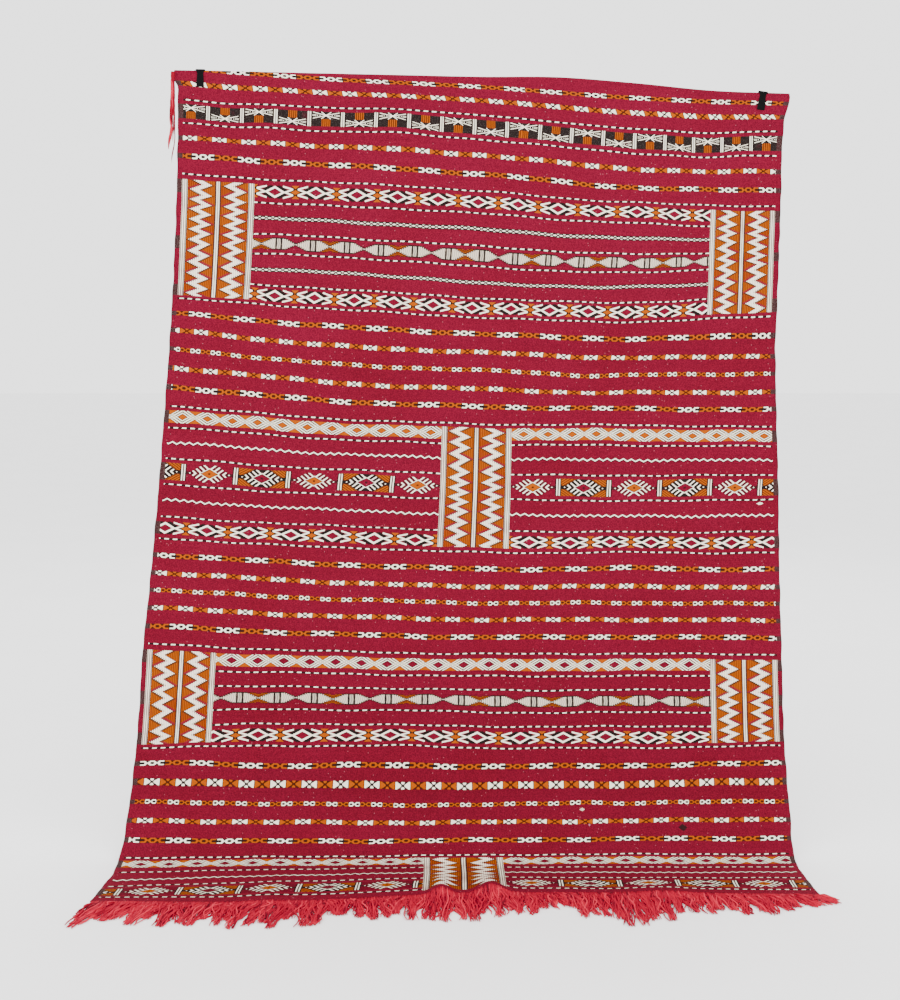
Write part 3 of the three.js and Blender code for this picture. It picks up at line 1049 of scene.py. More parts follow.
@dataclass(frozen=True)
class Lattice(Woven):
    """Plaited white strands round small diamonds.

    Args:
        motif: the motif that it draws.
        plain: whether the diamonds show the ground.
        wide: half the width of a diamond.
        tall: half its height.
        period: length of a repeat.
        line: distance of the dark lines on the strands.
    """

    plain: bool = False
    wide: float = 5.0
    tall: float = 3.0
    period: float = 24.5
    line: float = 2.6

    def pattern(self, board: Board, u: Sum, v: Sum, ground: Socket) -> Socket:
        """Draws the strands; u is whole at the middle of a diamond."""
        x = u.off().size() * self.period
        y = (v - 0.5).size() * 12.0
        slope = self.tall / self.wide
        far = self.period / 2 - x
        over = x * slope + y
        under = x * slope - y
        corner = (y - 2.1) - far * slope
        plaited = under > self.tall
        first_line = (((over - self.tall) / self.line).part() > 0.48) * (over < (self.tall + 6.4))
        second_line = (((under - self.tall) / self.line).part() > 0.48) * plaited
        lines = (first_line + second_line - first_line * second_line) * (0.95 - plaited * 0.4)
        colour = board.layers(YARNS.white,
            (lines, YARNS.olive), (over < self.tall + 0.35, YARNS.dark),
            (over < (self.tall - 0.35), ground if self.plain else YARNS.orange),
            (corner > -0.45, YARNS.dark), (corner > 0.0, YARNS.orange))
        return self.tint(board, colour)


class Comb(Woven):
    """Toothed diamonds, plain and framed in turn, between white double bars."""

    def pattern(self, board: Board, u: Sum, v: Sum, ground: Socket) -> Socket:
        """Draws the diamonds; u counts repeats of two diamonds, whole at a plain one."""
        x = (u * 2.0).off().size() * 51.8
        y = (v - 0.5).size() * 17.2
        framed = u.off().size() > 0.25
        reach = x * 0.62 + y
        outer = (x / 9.9 + y / 5.4) > 1.0
        inner = x / 7.9 + y / 4.1
        tooth = ((x - y * 1.25 + 4.4) / 6.0).off().size() * 6.0
        rays = outer * (reach < 12.6) * (y < 8.0)
        heart = board.mix(framed, YARNS.orange, ground)
        corner = board.layers(YARNS.orange,
            (((x * 0.27 + y * 0.42).part() < 0.42) * 0.8, YARNS.dark),
            ((y < 1.9) + (reach < 13.6), YARNS.dark))
        smear = (y < 1.5) * (x > 17.0) * 0.75
        beyond = board.mix(framed, board.mix(smear, ground, YARNS.dark), corner)
        colour = board.layers(beyond,
            (rays * (x > 1.4) * (framed * 0.45 + 0.55), YARNS.dark),
            (rays * (tooth < 1.05) * (x > 1.0), YARNS.white))
        colour = board.layers(YARNS.white,
            (outer, colour), (inner < 1.14, YARNS.dark), (inner < 1.0, heart),
            ((x < 1.0) * (y < 0.7), YARNS.dark))
        bars = board.mix((x > 25.2) * 0.95, YARNS.white, YARNS.dark)
        colour = board.layers(colour,
            ((x > 22.9) * (y < 8.3), YARNS.dark), ((x > 24.1) * (y < 8.1), bars))
        return self.tint(board, colour)


class Panel(Woven):
    """Tall panel of two mirrored zigzag columns between three striped bars."""

    # width of a panel, of half its middle bar, of a column and of a rib of yarn
    width = 73.4
    half_bar = 3.0
    span = 27.7
    thread = 1.9

    def pattern(self, board: Board, u: Sum, v: Sum, ground: Socket) -> Socket:
        """Draws the panel: u runs from 0 to 1 across it, v counts teeth and is whole at an inner tip."""
        _, _, vector = board.map("Cloth")
        out = (u - 0.5).size() * self.width
        column = (out - self.half_bar) / self.span
        rib = (out / self.thread).part()
        step = (out / self.thread).whole()
        stepped = (step * self.thread + self.thread / 2 - self.half_bar) / self.span
        wave = v.tri()
        spread = stepped * 0.75 + column * 0.25 - (0.29 + wave * 0.44)
        below = (spread > 0.0) + (v.part() < 0.5) - (spread > 0.0) * (v.part() < 0.5) * 2.0
        white = spread.size() < (0.128 + (rib > 0.45) * 0.055)
        outer = spread > 0.0
        cell = board.vector((v + outer * 0.5).whole() + (u > 0.5) * 13.0, outer * 7.0 + 0.5)
        pick = board.white_noise(cell)
        warm = board.mix((pick > 0.45) * 0.5, YARNS.orange, YARNS.ember)
        filled = board.mix((rib < 0.5) * 0.6, warm, YARNS.dark_red)
        near_tip = (spread.size() < 0.36) * (pick > 0.3) * (1.0 - below)
        filled = board.mix(near_tip * 0.8, filled, YARNS.crimson_pink)
        # the seam is the white stroke's dark outline; on the stroke's lower side it is wider and mostly
        # olive, a painted shadow
        seam = (spread.size() < (0.225 + below * 0.085)) * ((rib > 0.4) * 0.55 + 0.45)
        rim = board.mix(below * 0.75 + board.noise(vector, 22.0, 2.0) * 0.25, YARNS.crimson_deep, YARNS.olive)
        colour = board.mix(seam, filled, rim)
        pale = board.mix((rib < 0.4) * 0.5, YARNS.white, YARNS.rose)
        colour = board.mix(white, colour, pale)
        bar = (out < 2.2) + (out > 31.3)
        fine = ((out + 0.5) * 0.5).part() < 0.46
        blush = board.noise(vector, 14.0, 2.0)
        bars = board.layers(YARNS.white,
            (((blush - 0.42) * 3.0).most(0.0) * 0.6, YARNS.rose), (fine * 0.9, YARNS.dark_red))
        colour = board.mix((out < 3.2) + (out > 30.5), colour, YARNS.dark_red)
        return self.tint(board, board.mix(bar, colour, bars))


FINISHES = (
    Plain(Motif.FIELD), Back(Motif.BACK), Selvedge(Motif.SELVEDGE), Dash(Motif.DASH), Chain(Motif.CHAIN),
    BowTie(Motif.BOW_TIE), Small(Motif.SMALL), Block(Motif.BLOCK), Hook(Motif.HOOK), Braid(Motif.BRAID),
    Zigzag(Motif.ZIGZAG), Eye(Motif.EYE), Lattice(Motif.LATTICE_ORANGE),
    Lattice(Motif.LATTICE_RED, True, 5.6, 3.4, 26.0), Comb(Motif.COMB), Panel(Motif.PANEL),
)


def mesh_piece(name: str, points: np.ndarray, faces: list, maps: dict[str, np.ndarray]) -> Piece:
    """Makes a piece from points and faces, in metres.

    Args:
        name: the piece's name.
        points: one row of x, y and z for each point.
        faces: point numbers of each face.
        maps: for each UV map, one row of two numbers for each face corner.

    Returns:
        The piece.
    """
    mesh = bpy.data.meshes.new(name)
    mesh.from_pydata(points.tolist(), [], faces)
    for title, values in maps.items():
        layer = mesh.uv_layers.new(name=title)
        layer.data.foreach_set("uv", values.astype(np.float32).ravel())
    mesh.polygons.foreach_set("use_smooth", [True] * len(mesh.polygons))
    mesh.update()
    piece = bpy.data.objects.new(name, mesh)
    bpy.context.scene.collection.objects.link(piece)
    return piece


@dataclass
class RugCloth:
    """The woven rug as one closed sheet.

    Args:
        row_step: most distance between two mesh rows on the hanging part.
        bend_step: the same on the bend and the floor.
        fold_step: the same at the fold.
        fold_end: where the fold's rows end along the weave.
        bend_start: where the bend's rows start.
        counts: mesh columns of the margins, panels and fields, from left to right.
        stand: how far a patterned band stands proud of the ground.
        squeeze: how much tighter the repeats are at the right than at the left.
        right_slack: further yarn at the upper right.
        rows: places of the mesh rows along the weave.
        kinds: the band of each strip between two rows.
        lines: places of the mesh points across the rug.
        lengths: lengths of yarn to the mesh points.
    """

    row_step: float = 12.0
    bend_step: float = 7.0
    fold_step: float = 1.3
    fold_end: float = 45.0
    bend_start: float = 1700.0
    counts: tuple[int, ...] = (1, 14, 40, 24, 40, 14, 1)
    stand: float = 0.35
    squeeze: float = 0.04
    right_slack: float = 22.0
    rows: list[float] = field(default_factory=list)
    kinds: list[Band | None] = field(default_factory=list)
    lines: np.ndarray | None = None
    lengths: np.ndarray | None = None

    def plan_rows(self) -> None:
        """Lists the mesh rows, and what each strip between two rows shows."""
        marks = [(-HANG.flap, None)]
        for item in BANDS:
            marks.append((item.middle - item.height / 2, item))
            marks.append((item.middle + item.height / 2, None))
        marks.append((HANG.woven_length, None))
        for (start, item), (end, _) in zip(marks, marks[1:]):
            step = self.bend_step if start > self.bend_start else self.row_step
            step = self.fold_step if start < self.fold_end else step
            count = max(1, math.ceil((end - start) / step))
            for i in range(count):
                self.rows.append(start + (end - start) * i / count)
                self.kinds.append(item)
        self.rows.append(HANG.woven_length)

    def zone_at(self, woven: float) -> Zone | None:
        """The zone that a place along the weave lies in, if any."""
        return next((zone for zone in ZONES if zone.top <= woven <= zone.bottom), None)

    def column_lines(self, woven: float) -> np.ndarray:
        """Lines of the mesh columns at a place along the weave.

        Args:
            woven: the place.

        Returns:
            Places across the rug, from 0 to 1.
        """
        found = []
        for place in Place:
            zones = [zone for zone in ZONES if zone.place is place]
            middles = [(zone.top + zone.bottom) / 2 for zone in zones]
            found.append([np.interp(woven, middles, line) for line in zip(*(zone.lines for zone in zones))])
        inner, centre = found
        marks = [0.0, *inner[:2], *centre, *inner[2:], 1.0]
        parts = [np.linspace(a, b, count, endpoint=False)
                 for a, b, count in zip(marks, marks[1:], self.counts)]
        return np.concatenate(parts + [[1.0]])

    def grid(self, side: int) -> np.ndarray:
        """Points of one side of the cloth.

        Args:
            side: 1 for the face, -1 for the back, 0 for the rounded edge.

        Returns:
            Rows of columns of points, in millimetres.
        """
        result = []
        for number, woven in enumerate(self.rows):
            across = self.column_lines(woven)
            item = self.kinds[min(number, len(self.kinds) - 1)]
            lift = side * HANG.thickness / 2
            if side > 0 and item is not None:
                lift += self.stand
            waver = 1.1 * np.sin(across * 23 + woven / 61) + 0.8 * np.sin(across * 57 - woven / 37)
            path = HANG.path(across, woven) + waver * smooth(60, 160, woven) * (1 - smooth(2080, 2141, woven))
            points = HANG.on_cloth(across, path, np.full_like(across, lift))
            edge = 1.1 * math.sin(woven / 13) * math.sin(woven / 47) + (0.9 if side == 0 else 0.0)
            points[0, 0] -= edge
            points[-1, 0] += edge
            if side == 0 and number in (0, len(self.rows) - 1):
                points = HANG.on_cloth(across, path + (0.3 if number else -0.3), np.zeros_like(across))
            result.append(points)
        return np.array(result)

    def motif_of(self, row: int, group: int) -> Motif:
        """What one strip shows within one group of columns.

        Args:
            row: number of the strip.
            group: number of the column group.

        Returns:
            Its motif.
        """
        item = self.kinds[row]
        zone = self.zone_at((self.rows[row] + self.rows[row + 1]) / 2)
        panels = {Place.SIDES: (1, 5), Place.CENTRE: (3,)}
        if zone is not None and group in panels[zone.place]:
            return Motif.PANEL
        at_edge = group in (0, len(self.counts) - 1)
        if item is None or (at_edge and item.motif in PLAIN_EDGED):
            return Motif.FIELD
        return Motif.SELVEDGE if at_edge else item.motif

    def reach(self, across: np.ndarray, woven: float, width: float) -> np.ndarray:
        """Length of yarn from the left edge to each place, packed a little unevenly by the weaver."""
        slack = self.right_slack * smooth(0.76, 0.97, across) * (1 - smooth(200, 620, woven))
        return width * (across - self.squeeze * across * (1 - across)) + slack

    def band_place(self, row: int, strip: int, column: int, group: int) -> tuple[float, float]:
        """Place of a mesh point in its band or panel.

        Args:
            row: number of the point's mesh row.
            strip: number of the strip that the face lies in.
            column: number of the point's mesh column.
            group: number of the column group.

        Returns:
            Place across in repeats, or within a panel, and place down in shares of the band or in teeth.
        """
        marks = [sum(self.counts[:g]) for g in range(len(self.counts) + 1)]
        zone = self.zone_at((self.rows[strip] + self.rows[strip + 1]) / 2)
        motif = self.motif_of(strip, group)
        if motif is Motif.PANEL:
            start, end = self.lines[row, marks[group]], self.lines[row, marks[group + 1]]
            tooth = zone.tooth(0 if group < 4 else 1, self.rows[row])
            return (self.lines[row, column] - start) / (end - start), tooth + 20.0
        item = self.kinds[strip]
        if item is None:
            return 0.0, 0.5
        right = group > 3 and item.right_repeat > 0
        begin = marks[4] if right else 1
        if zone is not None and zone.place is Place.SIDES:
            begin = marks[2]
        repeat, first = (item.right_repeat, item.right_first) if right else (item.repeat, item.first)
        length = self.lengths[row, column] - self.lengths[row, begin] - first
        return length / repeat + 40.0, (self.rows[row] - item.middle) / item.height + 0.5

    def build(self) -> Piece:
        """Builds the cloth.

        Returns:
            The piece, with its finishes.
        """
        self.plan_rows()
        front, back, edge = self.grid(1), self.grid(-1), self.grid(0)
        rows, cols = front.shape[:2]
        points = np.concatenate([grid.reshape(-1, 3) for grid in (front, back, edge)]) * MM
        groups = [g for g, count in enumerate(self.counts) for _ in range(count)]
        self.lines = np.array([self.column_lines(woven) for woven in self.rows])
        widths = np.linalg.norm(front[:, -1] - front[:, 0], axis=1)
        self.lengths = np.array([self.reach(*row) for row in zip(self.lines, self.rows, widths)])
        faces, cloth, band_map, bake, slots = [], [], [], [], []

        def add(corners: tuple, slot: Motif, band_uv: list, bake_uv: list) -> None:
            faces.append([layer * rows * cols + r * cols + c for layer, r, c in corners])
            cloth.extend((self.lengths[r, c] * MM, self.rows[r] * MM) for _, r, c in corners)
            band_map.extend(band_uv)
            bake.extend(bake_uv)
            slots.append(slot.value)

        def spread(corners: tuple, start: float, width: float) -> list:
            return [(start + width * c / (cols - 1), 0.99 - 0.98 * r / (rows - 1)) for _, r, c in corners]

        for r in range(rows - 1):
            for c in range(cols - 1):
                corners = ((0, r, c), (0, r + 1, c), (0, r + 1, c + 1), (0, r, c + 1))
                band_uv = [self.band_place(rr, r, cc, groups[c]) for _, rr, cc in corners]
                add(corners, self.motif_of(r, groups[c]), band_uv, spread(corners, 0.005, 0.48))
                behind = tuple((1, rr, cc) for _, rr, cc in reversed(corners))
                add(behind, Motif.BACK, [(0.0, 0.5)] * 4, spread(behind, 0.995, -0.48))
        self.add_edges(add, rows, cols)
        piece = mesh_piece("woven_rug", points, faces, {
            "Cloth": np.array(cloth), "Band": np.array(band_map), "OFBake": np.array(bake)})
        for finish in FINISHES:
            piece.data.materials.append(finish.make())
        piece.data.polygons.foreach_set("material_index", slots)
        return piece

    def add_edges(self, add, rows: int, cols: int) -> None:
        """Closes the sheet round its rim, over a rounded middle line.

        Args:
            add: adds one face.
            rows: number of mesh rows.
            cols: number of mesh columns.
        """
        loop = [(r, 0) for r in range(rows)]
        loop += [(rows - 1, c) for c in range(1, cols)]
        loop += [(r, cols - 1) for r in range(rows - 2, -1, -1)]
        loop += [(0, c) for c in range(cols - 2, 0, -1)]
        total = len(loop)
        for i, (r, c) in enumerate(loop):
            nr, nc = loop[(i + 1) % total]
            row = min(r, nr, rows - 2)
            at_side = c == nc and c in (0, cols - 1)
            slot = self.motif_of(row, 0) if at_side else Motif.FIELD
            for a, b, x0 in ((0, 2, 0.489), (2, 1, 0.499)):
                corners = ((a, r, c), (b, r, c), (b, nr, nc), (a, nr, nc))
                y0, y1 = 0.01 + 0.98 * i / total, 0.01 + 0.98 * (i + 1) / total
                bake_uv = [(x0, y0), (x0 + 0.008, y0), (x0 + 0.008, y1), (x0, y1)]
                add(corners, slot, [(0.0, 0.5)] * 4, bake_uv)


def yarn_piece(name: str, lines: list, radii: list, shades: list, sides: int, slim: float) -> Piece:
    """Makes many yarns as one piece.

    Args:
        name: the piece's name.
        lines: for each yarn, one row of x, y and z for each ring.
        radii: radius of each yarn.
        shades: a number from 0 to 1 for each yarn, for its colour.
        sides: points of each ring.
        slim: share of its radius that a yarn loses towards its tip.

    Returns:
        The piece.
    """
    points, faces, yarn_map = [], [], []
    for line, radius, shade in zip(lines, radii, shades):
        rings = len(line)
        ahead = np.gradient(line, axis=0)
        ahead /= np.linalg.norm(ahead, axis=1)[:, None]
        guide = np.array((0.0, 0.0, 1.0)) if abs(ahead[:, 2]).mean() < 0.8 else np.array((0.0, 1.0, 0.0))
        aside = np.cross(ahead, guide)
        aside /= np.linalg.norm(aside, axis=1)[:, None]
        above = np.cross(aside, ahead)
        base = len(points)
        for k in range(rings):
            size = radius * (1.0 - slim * (k / (rings - 1)) ** 3)
            for s in range(sides):
                angle = math.tau * (s + 0.5) / sides
                out = aside[k] * math.cos(angle) + above[k] * math.sin(angle)
                point = line[k] + out * size
                points.append((point[0], point[1], max(point[2], HANG.floor)))
        for k in range(rings - 1):
            for s in range(sides):
                n = (s + 1) % sides
                a, b = base + k * sides, base + (k + 1) * sides
                faces.append([a + s, a + n, b + n, b + s])
                yarn_map += [(shade, k), (shade, k), (shade, k + 1), (shade, k + 1)]
        faces.append([base + s for s in reversed(range(sides))])
        faces.append([base + (rings - 1) * sides + s for s in range(sides)])
        yarn_map += [(shade, 0)] * sides + [(shade, rings - 1)] * sides
    coords = np.array(yarn_map, dtype=float)
    coords[:, 1] /= max(1.0, coords[:, 1].max())
    return mesh_piece(name, np.array(points) * MM, faces, {"Yarn": coords})


@dataclass(frozen=True)
class LooseWool:
    """Loose fuzzy yarn.

    Args:
        name: the finish's name.
        light: its light colour.
        deep: its deep colour.
    """

    name: str
    light: tuple
    deep: tuple

    def make(self) -> Material:
        """Makes the material."""
        board = Board(self.name)
        shade, along, _ = board.map("Yarn")
        place = board.node("ShaderNodeTexCoord", {}).outputs["Object"]
        fuzz = board.noise(place, 900.0, 3.0)
        blotch = board.noise(place, 45.0, 2.0)
        depth = (shade * 0.6 + (blotch - 0.4) * 0.9 - along * 0.1).most(0.0)
        # plum on some strands is painted shadow between the yarns, not a yarn colour
        colour = board.layers(self.light,
            (depth, self.deep), ((shade > 0.9) * (blotch * 1.6 - 0.4).most(0.0), YARNS.plum),
            ((shade < 0.16) * 0.55, YARNS.pale_red))
        colour = board.shade(colour, 0.70 + fuzz * 0.60)
        return board.dress(colour, 0.75 + fuzz * 0.2, fuzz, 0.4 * MM, 0.6, 0.05)


@dataclass
class Fringe:
    """The warp ends at the hem, loose yarns lying on the floor in tangled clumps.

    Args:
        count: number of yarns.
        radius: radius of a yarn.
        rings: rings of points along a yarn.
        clump: usual width of a clump.
        hem: width of the hem.
    """

    count: int = 1750
    radius: float = 1.9
    rings: int = 11
    clump: float = 24.0
    hem: float = 1630.0
    # place across, reach beyond the hem, lean of the tips
    reach: tuple[tuple[float, float, float], ...] = (
        (0.0, 128, -30), (0.05, 142, -24), (0.16, 138, -12), (0.28, 142, -12), (0.35, 108, 6),
        (0.43, 122, -4), (0.5, 150, 0), (0.56, 148, 6), (0.62, 92, 10), (0.655, 134, 6), (0.73, 172, 4),
        (0.79, 138, 8), (0.83, 108, 8), (0.885, 114, 10), (0.95, 112, 20), (0.98, 86, 28), (1.0, 44, 34),
    )

    def clumps(self, dice: random.Random) -> np.ndarray:
        """Places the clumps' tips.

        Args:
            dice: the source of scatter.

        Returns:
            One row of place across, sideways shift and reach share for each clump.
        """
        rows = []
        across = 0.0
        while across < 1.0:
            rows.append((across, dice.uniform(-12, 12), dice.uniform(0.66, 1.14)))
            across += self.clump * dice.uniform(0.6, 1.5) / self.hem
        return np.array(rows)

    def build(self) -> Piece:
        """Builds the fringe.

        Returns:
            The piece, with its finish.
        """
        dice = random.Random(23)
        table = np.array(self.reach)
        tips = self.clumps(dice)
        lines, radii, shades = [], [], []
        t = np.linspace(0, 1, self.rings)
        for number in range(self.count):
            across = 0.002 + 0.996 * (number + dice.random()) / self.count
            at = np.array([across])
            start = HANG.on_face(at, HANG.hem_down(at) - 2.0, dice.uniform(-0.9, 0.9))[0]
            nearest = tips[np.argmin(abs(tips[:, 0] - across + dice.gauss(0, 0.003)))]
            pull = dice.uniform(0.25, 0.85)
            reach = np.interp(across, table[:, 0], table[:, 1]) * nearest[2] * (1 - abs(dice.gauss(0, 0.07)))
            if dice.random() < 0.25:
                reach *= dice.uniform(0.5, 0.95)
            lean = np.interp(across, table[:, 0], table[:, 2])
            aim = (nearest[0] - across) * self.hem * pull + nearest[1]
            wave = dice.uniform(1.5, 7.0)
            turn = dice.random() * math.tau
            speed = dice.uniform(5, 12)
            x = start[0] + lean * t**1.4 + aim * smooth(0.35, 1.0, t)
            x = x + wave * (np.sin(turn + t * speed) - math.sin(turn)) * smooth(0, 0.4, t)
            y = start[1] - reach * t
            level = dice.uniform(0, 1) ** 1.4 * 7.0
            rest = HANG.floor + self.radius + level * (1 - 0.7 * smooth(0.5, 1, t))
            z = start[2] + (rest - start[2]) * smooth(0, 0.4, t)
            z = np.maximum(z, HANG.floor + self.radius * 0.8)
            lines.append(np.stack([x, y, z], axis=-1))
            radii.append(self.radius * dice.uniform(0.75, 1.2))
            shades.append(dice.random())
        piece = yarn_piece("warp_fringe", lines, radii, shades, 4, 0.5)
        piece.data.materials.append(LooseWool("fringe_yarn", YARNS.fringe, YARNS.fringe_deep).make())
        return piece


@dataclass(frozen=True)
class Lock:
    """One hanging lock of the corner tail, its places measured from the tail's head.

    Args:
        start_x: its place across at the top.
        start_y: its place in depth.
        mid_x: its place across in the middle.
        tip_x: its place across at the tip.
        bottom: height of its tip.
        radius: its radius.
    """

    start_x: float
    start_y: float
    mid_x: float
    tip_x: float
    bottom: float
    radius: float


@dataclass
class CornerTail:
    """Loose warp ends that hang from the turned-over corner.

    Args:
        x: their place across.
        head_top: top of the gathered head.
        head_bottom: bottom of the gathered head.
        head_radius: its radius.
        head_strands: strands round the head.
        head_rings: rings of points along each of them.
        strands: twisted strands in a lock.
        rings: rings of points along a strand.
    """

    x: float = -740.2
    head_top: float = 13.0
    head_bottom: float = -14.0
    head_radius: float = 5.4
    head_strands: int = 9
    head_rings: int = 10
    strands: int = 6
    rings: int = 30
    locks: tuple[Lock, ...] = (
        Lock(-1.9, 0.0, -6.5, -14.0, -170.0, 4.6),
        Lock(1.6, -0.8, 0.8, -3.0, -152.0, 3.0),
        Lock(1.2, 1.6, 1.2, -8.0, -205.0, 1.5),
    )

    def build(self) -> Piece:
        """Builds the tail.

        Returns:
            The piece, with its finish.
        """
        dice = random.Random(7)
        lines, radii, shades = [], [], []
        t = np.linspace(0, 1, self.rings)
        for lock in self.locks:
            to_mid, to_tip = smooth(0.15, 0.6, t), smooth(0.7, 1, t)
            x = self.x + lock.start_x + (lock.mid_x - lock.start_x) * to_mid
            x = x + (lock.tip_x - lock.mid_x) * to_tip
            full = 0.75 + 0.25 * np.sin(math.pi * np.minimum(1, t * 1.25))
            half = lock.radius * full * (1 - 0.5 * to_tip)
            for number in range(self.strands):
                turn = math.tau * number / self.strands + t * dice.uniform(9, 13)
                bottom = lock.bottom * dice.uniform(0.93, 1.02)
                z = self.head_bottom + 8 + (bottom - self.head_bottom - 8) * t
                aside = half * 0.62 * np.cos(turn)
                ahead = half * 0.62 * np.sin(turn)
                lines.append(np.stack([x + aside, lock.start_y + ahead, z], axis=-1))
                radii.append(lock.radius * 0.48)
                shades.append(dice.random())
        for number in range(self.head_strands):
            turn = math.tau * number / self.head_strands
            s = np.linspace(0, 1, self.head_rings)
            swell = self.head_radius * 0.62 * (0.75 + 0.25 * np.sin(math.pi * s))
            x = self.x + swell * np.cos(turn + s * 1.6)
            y = swell * np.sin(turn + s * 1.6)
            z = self.head_top + (self.head_bottom - self.head_top) * s
            lines.append(np.stack([x, y, z], axis=-1))
            radii.append(self.head_radius * 0.42)
            shades.append(dice.random())
        piece = yarn_piece("corner_tail_yarn", lines, radii, shades, 5, 0.6)
        piece.data.materials.append(LooseWool("tail_yarn", YARNS.tail, YARNS.fringe_deep).make())
        return piece


@dataclass(frozen=True)
class BlackMetal:
    """Black painted steel, rubbed a little bare."""

    def make(self) -> Material:
        """Makes the material."""
        board = Board("clip_black")
        place = board.node("ShaderNodeTexCoord", {}).outputs["Object"]
        scuff = board.noise(place, 260.0, 4.0)
        smear = board.noise(place, 60.0, 2.0)
        colour = board.mix((scuff - 0.6) * 2.2, (0.0012, 0.0012, 0.0014, 1.0), (0.012, 0.012, 0.013, 1.0))
        return board.dress(colour, 0.4 + smear * 0.3, scuff, 0.2 * MM, 0.25, 0.05)


